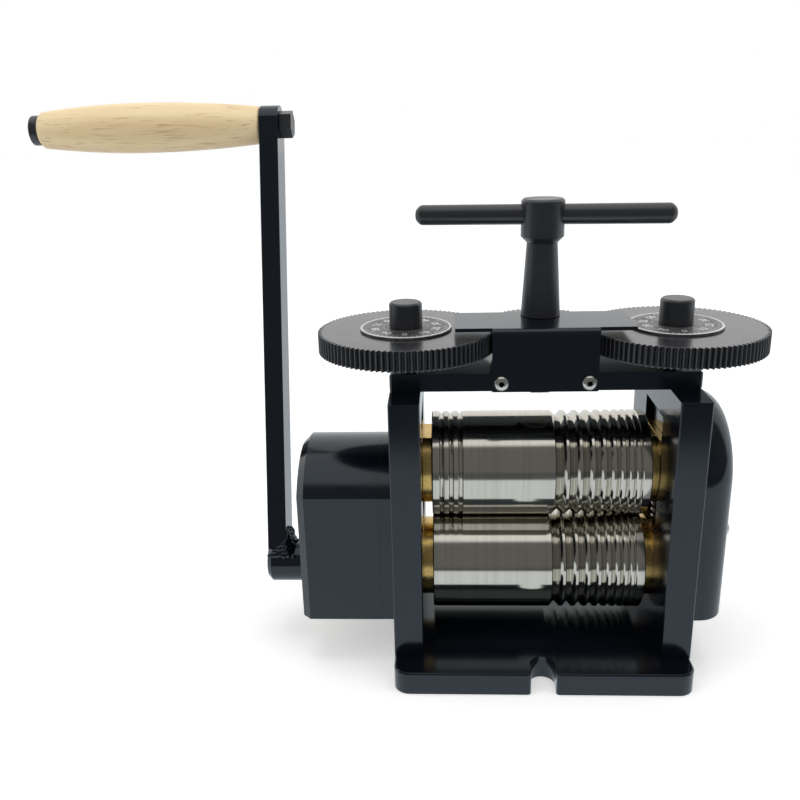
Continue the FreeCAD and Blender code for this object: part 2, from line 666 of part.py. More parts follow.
# Bushes, saddles, springs.
def bush(side, sign, name, height):
    """Flanged brass bush: a round collar at the roll and a flat sided block in the window."""
    away = "" if sign > 0 else "-"
    piece = body(f"{name}_{side}", z=height)
    block = sketch(piece, f"{name}_{side}_block", "YZ", f"{away}({cheek_in} - collar_gap)")
    outline(block, [(f"-{bush_half}", "0"), (bush_half, "0"), (bush_half, "collar_radius"),
                    (f"-{bush_half}", "collar_radius")], {0: bush_half})
    pad(piece, block, "cheek_thick", backwards=sign < 0)
    flange = sketch(piece, f"{name}_{side}_collar", "YZ", f"{away}({roll_end} + collar_gap)")
    ring(flange, "0", "0", "collar_radius")
    pad(piece, flange, f"{cheek_in} - {roll_end} - 2 * collar_gap", backwards=sign < 0)
    bore = sketch(piece, f"{name}_{side}_bore", "YZ", f"{away}{roll_end}")
    ring(bore, "0", "0", "neck_radius + bearing_slack")
    pocket(piece, bore, "cheek_thick + cheek_thick", forwards=sign > 0)
    return keep(piece, f"{name}_{side}")


def saddle(side, sign):
    """Steel block between the upper bush and the adjusting screw."""
    start = f"({cheek_in} - saddle_proud)" if sign > 0 else f"(-{cheek_in} + saddle_proud)"
    piece = body(f"saddle_{side}", x=start, z=saddle_low)
    face = sketch(piece, f"saddle_{side}_outline", "YZ")
    flat = f"({bush_half} - saddle_round)"
    shoulder = "(saddle_thick - saddle_round)"
    outline(face, [(f"-{bush_half}", "0"), (bush_half, "0"), (bush_half, shoulder), (flat, "saddle_thick"),
                   (f"-{flat}", "saddle_thick"), (f"-{bush_half}", shoulder)],
            {2: "saddle_round", 4: "saddle_round"})
    pad(piece, face, "cheek_thick + saddle_proud - collar_gap", backwards=sign < 0)
    return keep(piece, f"saddle_{side}")


def return_spring(side, sign):
    """Coil spring that lifts the upper bush off the lower one."""
    low = f"({lower_z} + collar_radius)"
    middle = value("spring_radius")
    wire = value("spring_wire / 2")
    rise = value(f"{upper_z} - {bush_half} - {low} - spring_wire - 2 * collar_gap")
    count = int(value("spring_turns") * 10)
    turns = [2 * math.pi * step / 10 for step in range(count + 1)]
    path = [Vector(middle * math.cos(turn), middle * math.sin(turn), rise * step / count)
            for step, turn in enumerate(turns)]
    section = [Vector(middle + wire * math.cos(turn), 0, wire * math.sin(turn))
               for turn in (2 * math.pi * step / 6 for step in range(7))]
    coil = Part.Wire(Part.makePolygon(path).Edges).makePipeShell([Part.makePolygon(section)], True, True, 1)
    item = doc.addObject("Part::Feature", f"return_spring_{side}")
    item.Shape = coil
    foot = value(f"{low} + collar_gap") + wire
    item.Placement = Placement(Vector(sign * value(cheek_mid), 0, foot), Rotation())
    return keep(item, f"return_spring_{side}")


# Gears.
def involute(angle):
    """Involute function of an angle in radians."""
    return math.tan(angle) - angle


def gear(name, teeth, module, width, addendum, dedendum, backlash, steps, tooth_at):
    """Spur gear about Z. tooth_at is the direction in degrees that one tooth points in. Each flank is an
    involute for a pressure angle of 20 degrees, with as many points as steps."""
    pressure = math.radians(20)
    pitch = teeth * module / 2
    base = pitch * math.cos(pressure)
    radii = [pitch - dedendum + (addendum + dedendum) * step / (steps - 1) for step in range(steps)]
    halves = []
    for radius in radii:
        slope = math.acos(min(base / radius, 1))
        halves.append(math.pi / (2 * teeth) - backlash / (2 * pitch) + involute(pressure) - involute(slope))
    points = []
    for number in range(teeth):
        middle = math.radians(tooth_at) + 2 * math.pi * number / teeth
        flank = [(radius, middle - half) for radius, half in zip(radii, halves)]
        flank += [(radius, middle + half) for radius, half in reversed(list(zip(radii, halves)))]
        points += [Vector(radius * math.cos(turn), radius * math.sin(turn), 0) for radius, turn in flank]
    item = doc.addObject("Part::Feature", name)
    item.Shape = Part.Face(Part.makePolygon(points + points[:1])).extrude(Vector(0, 0, width))
    return item


def train_gear(name, teeth, tooth_at):
    """Gear of the reduction train."""
    module = value("train_module")
    return gear(name, int(value(teeth)), module, value("train_width"), module, 1.25 * module,
                value("train_backlash"), 3, tooth_at)


def dial_gear(name, teeth, width, tooth_at):
    """Fine gear of the dials."""
    module = value(dial_module)
    return gear(name, int(value(teeth)), module, value(width), module, 1.25 * module,
                value("dial_backlash"), 2, tooth_at)


def lie_along_x(item, x, z):
    """Lays a gear made about Z along +X; what pointed to +Y there still points to +Y, and -X points up."""
    return place(item, x, "0", z, Vector(0, 1, 0), "90")


# Adjusting screws, dials, nuts.
def dial_set(side, sign):
    x = cheek_mid if sign > 0 else f"-{cheek_mid}"
    at = (x, "0")
    lower = rod(f"screw_body_{side}", "screw_radius", saddle_top, dial_low, at=at)
    screw_end = f"({cap_low} + cap_height - cap_crown)"
    upper = rod(f"screw_journal_{side}", "journal_radius", dial_low, screw_end, at=at)
    keep(join(f"adjusting_screw_{side}", [lower, upper]), f"adjusting_screw_{side}")
    inwards = 180 if sign > 0 else 0
    blank = dial_gear(f"dial_teeth_{side}", "dial_teeth", "dial_thick", inwards + 180 / value("dial_teeth"))
    place(blank, x, "0", dial_low)
    bore = rod(f"dial_bore_{side}", "journal_radius", dial_low, dial_top, at=at)
    keep(cut(f"dial_wheel_{side}", blank, [bore]), f"dial_wheel_{side}")
    plate = rod(f"dial_plate_disc_{side}", "plate_radius", dial_top, cap_low, at=at)
    hole = rod(f"dial_plate_hole_{side}", "journal_radius", dial_top, cap_low, at=at)
    keep(cut(f"dial_plate_{side}", plate, [hole]), f"dial_plate_{side}")
    cap = body(f"dial_cap_{side}", x=x, z=cap_low)
    half = sketch(cap, f"dial_cap_{side}_half", "XZ")
    outline(half, [("journal_radius", "0"), ("cap_radius", "0"), ("cap_radius", "cap_height - cap_round"),
                   ("cap_radius - cap_round", "cap_height"), ("0", "cap_height"),
                   ("0", "cap_height - cap_crown"), ("journal_radius", "cap_height - cap_crown")])
    turned(cap, half, "V_Axis")
    keep(cap, f"dial_cap_{side}")


# Tee handle and its cover.
def tee_handle():
    column = body("handle_column")
    half = sketch(column, "handle_column_half", "XZ")
    low = f"({bridge_low} - spindle_nut_height - thread_proud)"
    hub_top = f"({hub_z} + hub_height)"
    outline(half, [("0", low), ("spindle_radius", low), ("spindle_radius", foot_z),
                   ("column_foot_radius", foot_z), ("column_neck_radius", neck_z), ("hub_radius", hub_z),
                   ("hub_radius", f"{hub_top} - hub_edge"), ("hub_radius - hub_edge", hub_top),
                   ("0", hub_top)])
    turned(column, half, "V_Axis")
    hole = sketch(column, "handle_cross_hole", "YZ", "-hub_radius - 1")
    ring(hole, "0", bar_z, "bar_radius")
    pocket(column, hole, "2 * hub_radius + 2", forwards=True)
    place(column, "0", "0", "0", Vector(0, 0, -1), "bar_turn")
    keep(column, "handle_column")

    bar = body("handle_bar")
    lengthways = sketch(bar, "handle_bar_half", "XZ")
    left = "(bar_shift - bar_length / 2)"
    right = "(bar_shift + bar_length / 2)"
    outline(lengthways, [(left, "0"), (right, "0"), (right, "bar_radius - bar_round"),
                         (f"{right} - bar_round", "bar_radius"), (f"{left} + bar_round", "bar_radius"),
                         (left, "bar_radius - bar_round")])
    turned(bar, lengthways)
    place(bar, "0", "0", bar_z, Vector(0, 0, -1), "bar_turn")
    keep(bar, "handle_bar")

    blank = dial_gear("centre_teeth_blank", "centre_teeth", f"{centre_top} - {centre_low}", 0)
    place(blank, "0", "0", centre_low)
    bore = rod("centre_bore", "spindle_radius", centre_low, centre_top)
    keep(cut("centre_pinion", blank, [bore]), "centre_pinion")

    hexagon = doc.addObject("Part::Prism", "spindle_hexagon")
    hexagon.Polygon = 6
    hexagon.setExpression("Circumradius", bound("spindle_nut_width / sqrt(3)"))
    hexagon.setExpression("Height", bound("spindle_nut_height"))
    nut_low = f"({bridge_low} - spindle_nut_height - collar_gap)"
    place(hexagon, "0", "0", nut_low)
    thread = rod("spindle_nut_bore", "spindle_radius", nut_low, bridge_low)
    keep(cut("spindle_nut", hexagon, [thread]), "spindle_nut")


def spindle_bush():
    piece = body("spindle_bush", z=bridge_low)
    half = sketch(piece, "spindle_bush_half", "XZ")
    bore = "spindle_radius + bearing_slack"
    top = "(bridge_thick + spindle_flange_thick)"
    outline(half, [(bore, "0"), ("spindle_bush_radius", "0"), ("spindle_bush_radius", "bridge_thick"),
                   ("spindle_flange_radius", "bridge_thick"), ("spindle_flange_radius", top), (bore, top)])
    turned(piece, half, "V_Axis")
    return keep(piece, "spindle_bush")


def gear_cover():
    """Bent sheet: a top plate over the pinion and an apron screwed to the bridge's front."""
    cover = body("gear_cover")
    front = "(-bridge_depth / 2)"
    face = f"({front} - cover_sheet)"
    side = sketch(cover, "apron_side", "YZ", "-apron_width / 2")
    outline(side, [(face, bridge_low), (front, bridge_low), (front, f"{cover_top} - apron_bend"),
                   (f"{front} - cover_sheet + apron_bend", cover_low), ("0", cover_low), ("0", cover_top),
                   (f"{face} + apron_bend", cover_top), (face, f"{cover_top} - apron_bend")],
            {2: "-(apron_bend - cover_sheet)", 6: "apron_bend"})
    pad(cover, side, "apron_width")
    flat = sketch(cover, "cover_plate", "XY", cover_low)
    start = f"({face} + apron_bend)"
    rectangle(flat, ("-cover_width / 2", "cover_width / 2"), (start, "cover_back"))
    pad(cover, flat, "cover_sheet")
    hole = sketch(cover, "cover_spindle_hole", "XY", f"{cover_top} + 1")
    ring(hole, "0", "0", "spindle_radius + hole_room")
    pocket(cover, hole, "cover_sheet + 2")
    taps = sketch(cover, "cover_screw_holes", "XZ", "bridge_depth / 2 + cover_sheet + 1")
    for x in ("-cover_screw_span / 2", "cover_screw_span / 2"):
        ring(taps, x, f"{bridge_low} + bridge_thick / 2", "small_shank + screw_room")
    pocket(cover, taps, "cover_sheet + 2")
    keep(cover, "gear_cover")

    screws = []
    for number, x in enumerate(("-cover_screw_span / 2", "cover_screw_span / 2"), 1):
        at = (x, f"{bridge_low} + bridge_thick / 2")
        head = rod(f"cover_screw_head_{number}", "cover_screw_radius", f"{face} - cover_screw_head", face,
                   "Y", at)
        shank = rod(f"cover_screw_shank_{number}", "small_shank", face, f"{front} + tap_depth", "Y", at)
        screws.append(join(f"cover_screw_{number}", [head, shank]))
    keep(group("gear_cover_screws", screws), "gear_cover_screws")


# Left gear case and train.
def case_outline(item, inset, bottom):
    """Case profile: flat sides under a round crown, set in all round by a wall."""
    half = f"(case_half_width - {inset})"
    crown = f"(case_crown - {inset})"
    spring = f"(case_middle + sqrt({crown} * {crown} - {half} * {half}))"
    outline(item, [(f"-{half}", bottom), (half, bottom), (half, spring), (f"-{half}", spring)], {2: crown})


def gear_case():
    plate = body("gear_case_plate")
    back = sketch(plate, "case_plate_outline", "YZ", f"-{cheek_out}")
    case_outline(back, "0", "case_bottom")
    pad(plate, back, "case_plate", backwards=True)
    neck = sketch(plate, "case_plate_bores", "YZ", f"-{case_x} - 1")
    ring(neck, "0", lower_z, "neck_radius + hole_room")
    ring(neck, "0", lay_z, "lay_bore")
    for y, z in case_screw_places():
        ring(neck, y, z, "small_shank")
    for y, z in plate_screw_places():
        ring(neck, y, z, "plate_screw_radius + screw_room")
    pocket(plate, neck, "case_plate + 2", forwards=True)
    keep(plate, "gear_case_plate")

    shell = body("gear_case")
    profile = sketch(shell, "case_outline", "YZ", f"-{case_x}")
    case_outline(profile, "0", "case_bottom")
    pad(shell, profile, "case_length", backwards=True)
    end = -value(case_end)
    low = value("case_bottom")
    dress(shell, "Chamfer", "case_edge", lambda edge: flat_at(edge, "X", end) and not flat_at(edge, "Z", low))
    room = sketch(shell, "case_room", "YZ", f"-{case_x} + 1")
    case_outline(room, "case_wall", "case_bottom - 1")
    pocket(shell, room, "case_length - case_wall + 1")
    bores = sketch(shell, "case_bores", "YZ", f"-{case_end} - 1")
    ring(bores, "0", crank_z, "crank_bush_radius")
    for y, z in case_screw_places():
        ring(bores, y, z, "small_shank + screw_room")
    pocket(shell, bores, "case_wall + 2", forwards=True)
    hole = value("small_shank + screw_room")
    dress(shell, "Chamfer", "case_screw_head - small_shank - screw_room",
          lambda edge: flat_at(edge, "X", end) and is_round(edge, hole))
    keep(shell, "gear_case")

    screws = []
    for number, (y, z) in enumerate(case_screw_places(), 1):
        head = doc.addObject("Part::Cone", f"case_screw_head_{number}")
        head.setExpression("Radius1", bound("case_screw_head"))
        head.setExpression("Radius2", bound("small_shank"))
        head.setExpression("Height", bound("case_screw_head - small_shank"))
        place(head, f"-{case_end}", y, z, Vector(0, 1, 0), "90")
        shank = rod(f"case_screw_shank_{number}", "small_shank", f"-{case_end}", f"-{cheek_out} - collar_gap",
                    "X", (y, z))
        screws.append(join(f"case_screw_{number}", [head, shank]))
    keep(group("gear_case_screws", screws), "gear_case_screws")

    fixings = []
    for number, (y, z) in enumerate(plate_screw_places(), 1):
        fixings.append(rod(f"plate_screw_shank_{number}", "plate_screw_radius", f"-{case_x}", f"-{cheek_mid}",
                           "X", (y, z)))
    keep(group("case_plate_screws", fixings), "case_plate_screws")


def case_screw_places():
    """The four screws of the gear case."""
    low = [(f"{sign}case_screw_y", "case_screw_low") for sign in ("-", "")]
    high = [(f"{sign}case_screw_in", "case_screw_high") for sign in ("-", "")]
    return low + high


def plate_screw_places():
    """The four screws that hold the back plate on the cheek."""
    heights = ("plate_screw_low", "plate_screw_high")
    return [(f"{sign}plate_screw_y", z) for sign in ("-", "") for z in heights]


def gear_train():
    up = 180
    plane_one = (f"-{gear_one_end}", f"-{gear_one}")
    half_step = 180 / value("roll_end_teeth")
    blank = train_gear("reduction_gear_blank", "roll_end_teeth", up + half_step)
    lie_along_x(blank, f"-{gear_one_end}", lower_z)
    bore = rod("reduction_gear_bore", "roll_end_radius", *plane_one, "X", ("0", lower_z))
    slot = key("reduction_gear_keyway", plane_one, "roll_end_radius", lower_z)
    keep(cut("reduction_gear", blank, [bore, slot]), "reduction_gear")
    left = key("reduction_gear_key", plane_one, "roll_end_radius", lower_z)
    right = key("roll_gear_lower_key", (roll_gear_x, roll_gear_end), "gear_journal", lower_z)
    keep(group("lower_keys", [left, right]), "lower_keys")
    keep(key("upper_key", (roll_gear_x, roll_gear_end), "gear_journal", upper_z), "upper_key")

    wheel = train_gear("lay_wheel_teeth", "lay_teeth", 180 / value("lay_teeth"))
    lie_along_x(wheel, f"-{gear_two_end}", lay_z)
    small = train_gear("lay_pinion_teeth", "small_teeth", 0)
    lie_along_x(small, f"-{gear_one_end}", lay_z)
    hub = rod("lay_hub", "lay_bore + lay_hub_wall", f"-{gear_two}", f"-{gear_one_end}", "X", ("0", lay_z))
    bore = rod("lay_gear_bore", "lay_bore + bearing_slack", f"-{gear_two_end}", f"-{gear_one}",
               "X", ("0", lay_z))
    keep(cut("lay_gear", join("lay_cluster", [wheel, small, hub]), [bore]), "lay_gear")

    tip = f"-{gear_two_end} - clip_thick - clip_margin"
    keep(rod("lay_stud", "lay_bore", tip, f"-{cheek_out} - collar_gap", "X", ("0", lay_z)), "lay_shaft")
    keep(clip("lay_clip", f"-{gear_two_end} - clip_thick - collar_gap", "lay_bore", lay_z), "lay_clip")
    ring_x = f"-{gear_one_end} - clip_thick"
    keep(clip("roll_clip_left", ring_x, "roll_end_radius", lower_z), "roll_clip_left")


def clip(name, x, radius, z):
    """Retaining ring on a shaft."""
    outer = rod(name + "_outer", f"{radius} + clip_wide", x, f"({x}) + clip_thick", "X", ("0", z))
    inner = rod(name + "_inner", radius, x, f"({x}) + clip_thick", "X", ("0", z))
    return cut(name, outer, [inner])


# Right roll gears and cover.
def roll_gears():
    pitch = value(f"{upper_z} - {lower_z}")
    teeth = int(value("roll_teeth"))
    for name, z, tooth_at in (("lower", lower_z, 180), ("upper", upper_z, 180 / teeth)):
        blank = gear(f"roll_gear_{name}_teeth", teeth, pitch / teeth, value("roll_gear_width"),
                     value("roll_gear_addendum"), value("roll_gear_dedendum"), value("roll_gear_backlash"),
                     4, tooth_at)
        lie_along_x(blank, roll_gear_x, z)
        bore = rod(f"roll_gear_{name}_bore", "gear_journal", roll_gear_x, roll_gear_end, "X", ("0", z))
        slot = key(f"roll_gear_{name}_keyway", (roll_gear_x, roll_gear_end), "gear_journal", z)
        keep(cut(f"roll_gear_{name}", blank, [bore, slot]), f"roll_gear_{name}")
        keep(clip(f"roll_clip_{name}", roll_gear_end, "gear_journal", z), f"roll_clip_{name}")


def hood_form(name, inset, bottom, start, end, rounding):
    """Solid with flat sides under a round top and a rounded outer edge."""
    form = body(name)
    profile = sketch(form, name + "_outline", "YZ", start)
    radius = f"(hood_radius - {inset})"
    outline(profile, [(f"-{radius}", bottom), (radius, bottom), (radius, upper_z), (f"-{radius}", upper_z)],
            {2: radius})
    pad(form, profile, f"({end}) - ({start})")
    dress(form, "Fillet", rounding,
          lambda edge: flat_at(edge, "X", value(end)) and not flat_at(edge, "Z", value(bottom)))
    return form


def roll_gear_cover():
    outer = f"({cheek_out} + hood_length)"
    seat = f"({outer} - hood_wall)"
    shape = hood_form("hood_outside", "0", "hood_bottom", cheek_out, outer, "hood_round")
    room = hood_form("hood_inside", "hood_wall", "hood_bottom - 1", f"{cheek_out} - 1", seat,
                     "hood_round - hood_wall")
    holes = [rod(f"hood_screw_hole_{number}", "small_shank + screw_room", f"{seat} - 1", f"{outer} + 1", "X",
                 (y, pillar_z)) for number, y in enumerate(("-pillar_y", "pillar_y"), 1)]
    keep(cut("roll_gear_cover", shape, [room] + holes), "roll_gear_cover")

    pillars = []
    screws = []
    for number, y in enumerate(("-pillar_y", "pillar_y"), 1):
        at = (y, pillar_z)
        post = rod(f"cover_post_{number}", "pillar_radius", cheek_out, seat, "X", at)
        tap = rod(f"cover_post_tap_{number}", "small_shank", f"{seat} - tap_depth", seat, "X", at)
        pillars.append(cut(f"cover_pillar_{number}", post, [tap]))
        head = rod(f"hood_screw_head_{number}", "cover_screw_radius", outer, f"{outer} + cover_screw_head",
                   "X", at)
        shank = rod(f"hood_screw_shank_{number}", "small_shank", f"{seat} - tap_depth", outer, "X", at)
        screws.append(join(f"hood_screw_{number}", [head, shank]))
    keep(group("cover_pillars", pillars), "cover_pillars")
    keep(group("roll_cover_screws", screws), "roll_cover_screws")


# Crank.
def crank_bush():
    """Flanged brass bush in the outer wall of the gear case."""
    piece = body("crank_bush", z=crank_z)
    half = sketch(piece, "crank_bush_half", "XZ")
    bore = "shaft_radius + bearing_slack"
    inner = f"(-{gear_two_end} - 3 * collar_gap)"
    outer = f"(-{boss_x} + 3 * collar_gap)"
    seat = f"(-{case_end} + case_wall)"
    outline(half, [(outer, bore), (inner, bore), (inner, "crank_bush_radius"),
                   (f"{seat} + crank_flange_thick", "crank_bush_radius"),
                   (f"{seat} + crank_flange_thick", "crank_flange_radius"), (seat, "crank_flange_radius"),
                   (seat, "crank_bush_radius"), (outer, "crank_bush_radius")])
    turned(piece, half)
    return keep(piece, "crank_bush")


def crank_shaft():
    """Shaft with a small gear cut on its inner end."""
    start = f"(boss_floor + hole_room - {boss_end})"
    shaft = rod("crank_shaft_bar", "shaft_radius", start, f"-{gear_two}", "X", ("0", crank_z))
    up = 180
    teeth = lie_along_x(train_gear("crank_pinion_teeth", "small_teeth", up), f"-{gear_two_end}", crank_z)
    return keep(join("crank_shaft", [shaft, teeth]), "crank_shaft")


def crank_arm():
    """Flat bar welded on a round boss, leaning back from the upright."""
    arm = body("crank_arm")
    half = sketch(arm, "boss_half", "XZ")
    outline(half, [(f"-{boss_end}", "0"), (f"-{boss_end} + boss_floor", "0"),
                   (f"-{boss_end} + boss_floor", "shaft_radius"),
                   (f"-{boss_x}", "shaft_radius"), (f"-{boss_x}", "boss_radius"),
                   (f"-{boss_end} + boss_edge", "boss_radius"), (f"-{boss_end}", "boss_radius - boss_edge")])
    turned(arm, half)
    bar = sketch(arm, "arm_outline", "YZ", f"-{arm_end}")
    low = "shaft_radius + hole_room"
    outline(bar, [("-arm_width / 2", low), ("arm_width / 2", low), ("arm_width / 2", "arm_reach"),
                  ("-arm_width / 2", "arm_reach")], {2: "arm_width / 2"})
    pad(arm, bar, "arm_thick")
    hole = sketch(arm, "arm_bolt_hole", "YZ", f"-{arm_x} + 1")
    ring(hole, "0", "arm_reach", "bolt_radius")
    pocket(arm, hole, "arm_thick + 2")
    grub = sketch(arm, "grub_hole", "XY", "-boss_radius - 1")
    ring(grub, f"-({boss_x} + boss_length / 4)", "0", "grub_radius")
    pocket(arm, grub, "boss_radius", forwards=True)
    place(arm, "0", "0", crank_z, Vector(-1, 0, 0), "crank_lean")
    keep(arm, "crank_arm")

    screw = doc.addObject("Part::Cylinder", "grub_screw")
    screw.setExpression("Radius", "Sizes.grub_radius")
    screw.setExpression("Height", bound("boss_radius - shaft_radius - grub_sunk"))
    reach = "(boss_radius - grub_sunk)"
    place(screw, f"-({boss_x} + boss_length / 4)", f"-{reach} * sin(crank_lean)",
          f"{crank_z} - {reach} * cos(crank_lean)", Vector(-1, 0, 0), "crank_lean")
    keep(screw, "grub_screw")


def grip_parts():
    at = (grip_y, grip_z)
    shank = rod("grip_bolt_shank", "bolt_radius", f"-{grip_end}", f"-{arm_x} + nut_height", "X", at)
    head = rod("grip_bolt_head", "bolt_head_radius", f"-{grip_end} - grip_gap - bolt_head_height",
               f"-{grip_end} - grip_gap", "X", at)
    neck = rod("grip_bolt_neck", "bolt_radius", f"-{grip_end} - grip_gap", f"-{grip_end}", "X", at)
    keep(join("grip_bolt", [shank, head, neck]), "grip_bolt")

    hexagon = doc.addObject("Part::Prism", "grip_nut_hexagon")
    hexagon.Polygon = 6
    hexagon.setExpression("Circumradius", bound("nut_width / sqrt(3)"))
    hexagon.setExpression("Height", bound("nut_height"))
    across = Rotation(Vector(-1, 0, 0), value("nut_turn")) * Rotation(Vector(0, 1, 0), 90)
    place(hexagon, f"-{arm_x}", grip_y, grip_z)
    hexagon.Placement = Placement(hexagon.Placement.Base, across)
    thread = rod("grip_nut_bore", "bolt_radius", f"-{arm_x}", f"-{arm_x} + nut_height", "X", at)
    keep(cut("grip_nut", hexagon, [thread]), "grip_nut")

    grip = body("wooden_grip", y=grip_y, z=grip_z)
    half = sketch(grip, "grip_half", "XZ")
    bore = "(bolt_radius + 2 * bearing_slack)"
    left = f"-{grip_end}"
    right = f"-{grip_x}"
    belly = f"(-{grip_x} - grip_length * grip_belly_place)"
    inner_drop = "(grip_belly_radius - grip_inner_radius)"
    outer_drop = "(grip_belly_radius - grip_outer_radius)"
    inner_run = f"({right} - grip_round - {belly})"
    outer_run = f"({belly} - ({left}) - grip_round)"
    outline(half, [(left, bore), (right, bore), (right, "grip_inner_radius - grip_round"),
                   (f"{right} - grip_round", "grip_inner_radius"), (belly, "grip_belly_radius"),
                   (f"{left} + grip_round", "grip_outer_radius"), (left, "grip_outer_radius - grip_round")],
            {3: f"({inner_run} * {inner_run} + {inner_drop} * {inner_drop}) / 2 / {inner_drop}",
             4: f"({outer_run} * {outer_run} + {outer_drop} * {outer_drop}) / 2 / {outer_drop}"})
    turned(grip, half)
    keep(grip, "wooden_grip")


for side, sign in SIDES:
    cheek(side, sign)
base_plate()
top_bridge()
frame_screws()
lower_roll()
upper_roll()
for side, sign in SIDES:
    bush(side, sign, "lower_bush", lower_z)
    bush(side, sign, "upper_bush", upper_z)
    saddle(side, sign)
    return_spring(side, sign)
    dial_set(side, sign)
tee_handle()
spindle_bush()
gear_cover()
gear_case()
gear_train()
roll_gears()
roll_gear_cover()
crank_bush()
crank_shaft()
crank_arm()
grip_parts()

doc.recompute()
for item in doc.Objects:
    if "Invalid" in item.State or "Error" in item.State:
        raise ValueError(f"{item.Name} failed")
for item in nodes:
    if item.Shape.isNull() or not item.Shape.isValid():
        raise ValueError(f"{item.Label} has no valid shape")
for item in nodes:
    item.Shape.exportStep(f"parts/{item.Label}.step")
    print(f"{item.Label}: {len(item.Shape.Solids)} solid(s), {item.Shape.Volume / 1000:.2f} cm3")
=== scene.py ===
import json
import math
import random
import bmesh
import bpy
from mathutils import Matrix, Vector


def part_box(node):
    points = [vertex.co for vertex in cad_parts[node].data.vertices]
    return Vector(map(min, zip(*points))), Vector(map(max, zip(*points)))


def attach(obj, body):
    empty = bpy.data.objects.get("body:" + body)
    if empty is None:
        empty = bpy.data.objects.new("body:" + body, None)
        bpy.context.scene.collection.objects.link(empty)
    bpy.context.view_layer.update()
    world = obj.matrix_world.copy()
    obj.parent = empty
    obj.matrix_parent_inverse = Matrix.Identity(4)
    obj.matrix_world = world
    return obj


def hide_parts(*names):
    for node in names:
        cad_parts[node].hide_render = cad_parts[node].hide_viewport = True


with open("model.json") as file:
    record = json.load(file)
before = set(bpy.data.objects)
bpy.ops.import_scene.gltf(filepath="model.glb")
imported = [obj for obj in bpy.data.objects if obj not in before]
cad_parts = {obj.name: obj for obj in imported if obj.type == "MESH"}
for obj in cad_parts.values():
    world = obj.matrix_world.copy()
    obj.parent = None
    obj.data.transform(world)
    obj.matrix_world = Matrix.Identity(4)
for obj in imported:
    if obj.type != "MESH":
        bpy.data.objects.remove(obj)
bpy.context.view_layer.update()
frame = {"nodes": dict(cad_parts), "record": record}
print("frame loaded:", len(frame["nodes"]), "nodes")

scene = bpy.context.scene
scene.view_settings.view_transform = "Standard"


# Node trees: the owner is a material or the world

def addNode(owner, kind, values=None, links=None, **settings):
    node = owner.node_tree.nodes.new(kind)
    for key, value in settings.items():
        setattr(node, key, value)
    for key, value in (values or {}).items():
        node.inputs[key].default_value = value
    for key, socket in (links or {}).items():
        owner.node_tree.links.new(socket, node.inputs[key])
    return node


def wire(owner, shader, **sockets):
    for name, output in sockets.items():
        owner.node_tree.links.new(output, shader.inputs[name.replace("_", " ")])


def spread(owner, factor, low, high, start=0.0, end=1.0, **settings):
    limits = {"From Min": start, "From Max": end, "To Min": low, "To Max": high}
    return addNode(owner, "ShaderNodeMapRange", limits, {"Value": factor}, **settings).outputs["Result"]


def smooth(owner, factor, start, end, low=0.0, high=1.0):
    return spread(owner, factor, low, high, start, end, interpolation_type="SMOOTHSTEP")


def combined(owner, operation, first, second):
    return addNode(owner, "ShaderNodeMath", links={0: first, 1: second}, operation=operation).outputs[0]


def choose(owner, factor, without, chosen):
    node = addNode(owner, "ShaderNodeMix", links={0: factor}, data_type="FLOAT")
    for number, entry in ((2, without), (3, chosen)):
        if isinstance(entry, float):
            node.inputs[number].default_value = entry
        else:
            owner.node_tree.links.new(entry, node.inputs[number])
    return node.outputs[0]


# Materials

def newMaterial(name, colour, metallic):
    material = bpy.data.materials.new(name)
    material.use_nodes = True
    shader = material.node_tree.nodes["Principled BSDF"]
    shader.inputs["Base Color"].default_value = (*colour, 1)
    shader.inputs["Metallic"].default_value = metallic
    return material, shader


def objectPlace(material, scale=(1, 1, 1)):
    place = addNode(material, "ShaderNodeTexCoord").outputs["Object"]
    return addNode(material, "ShaderNodeMapping", {"Scale": scale}, {"Vector": place}).outputs["Vector"]


def noise(material, place, scale, detail=3, rough=0.5):
    values = {"Scale": scale, "Detail": detail, "Roughness": rough}
    return addNode(material, "ShaderNodeTexNoise", values, {"Vector": place}).outputs["Fac"]


def mixColour(material, factor, first, second):
    node = addNode(material, "ShaderNodeMix", data_type="RGBA")
    for socket, colour in ((node.inputs[6], first), (node.inputs[7], second)):
        if isinstance(colour, tuple):
            socket.default_value = (*colour, 1)
        else:
            material.node_tree.links.new(colour, socket)
    material.node_tree.links.new(factor, node.inputs[0])
    return node.outputs[2]


def bump(material, height, strength, distance):
    values = {"Strength": strength, "Distance": distance}
    return addNode(material, "ShaderNodeBump", values, {"Height": height}).outputs["Normal"]


def edgeMask(material, radius, sharpness):
    # 1 on the edges of a solid, 0 on its flats
    soft = addNode(material, "ShaderNodeBevel", {"Radius": radius}, samples=4)
    flat = addNode(material, "ShaderNodeNewGeometry")
    same = addNode(material, "ShaderNodeVectorMath", operation="DOT_PRODUCT",
                   links={0: soft.outputs["Normal"], 1: flat.outputs["Normal"]})
    return spread(material, same.outputs["Value"], 1, 0, 1 - sharpness, 1)


enamelValues = {
    "colour": (0.003, 0.0045, 0.0085), "worn": (0.02, 0.022, 0.027), "tint": (0.82, 0.93, 1.0), "ior": 1.58,
    "roughness": (0.12, 0.18), "cloudScale": 26, "cloudBand": (0.3, 0.7),
    "edgeRadius": 0.0007, "edgeSharp": 0.35, "speckleScale": 240, "speckleBand": (0.45, 0.7), "wear": 0.8,
    "peelScale": 620, "peelStrength": 0.02, "peelDepth": 0.0002,
}


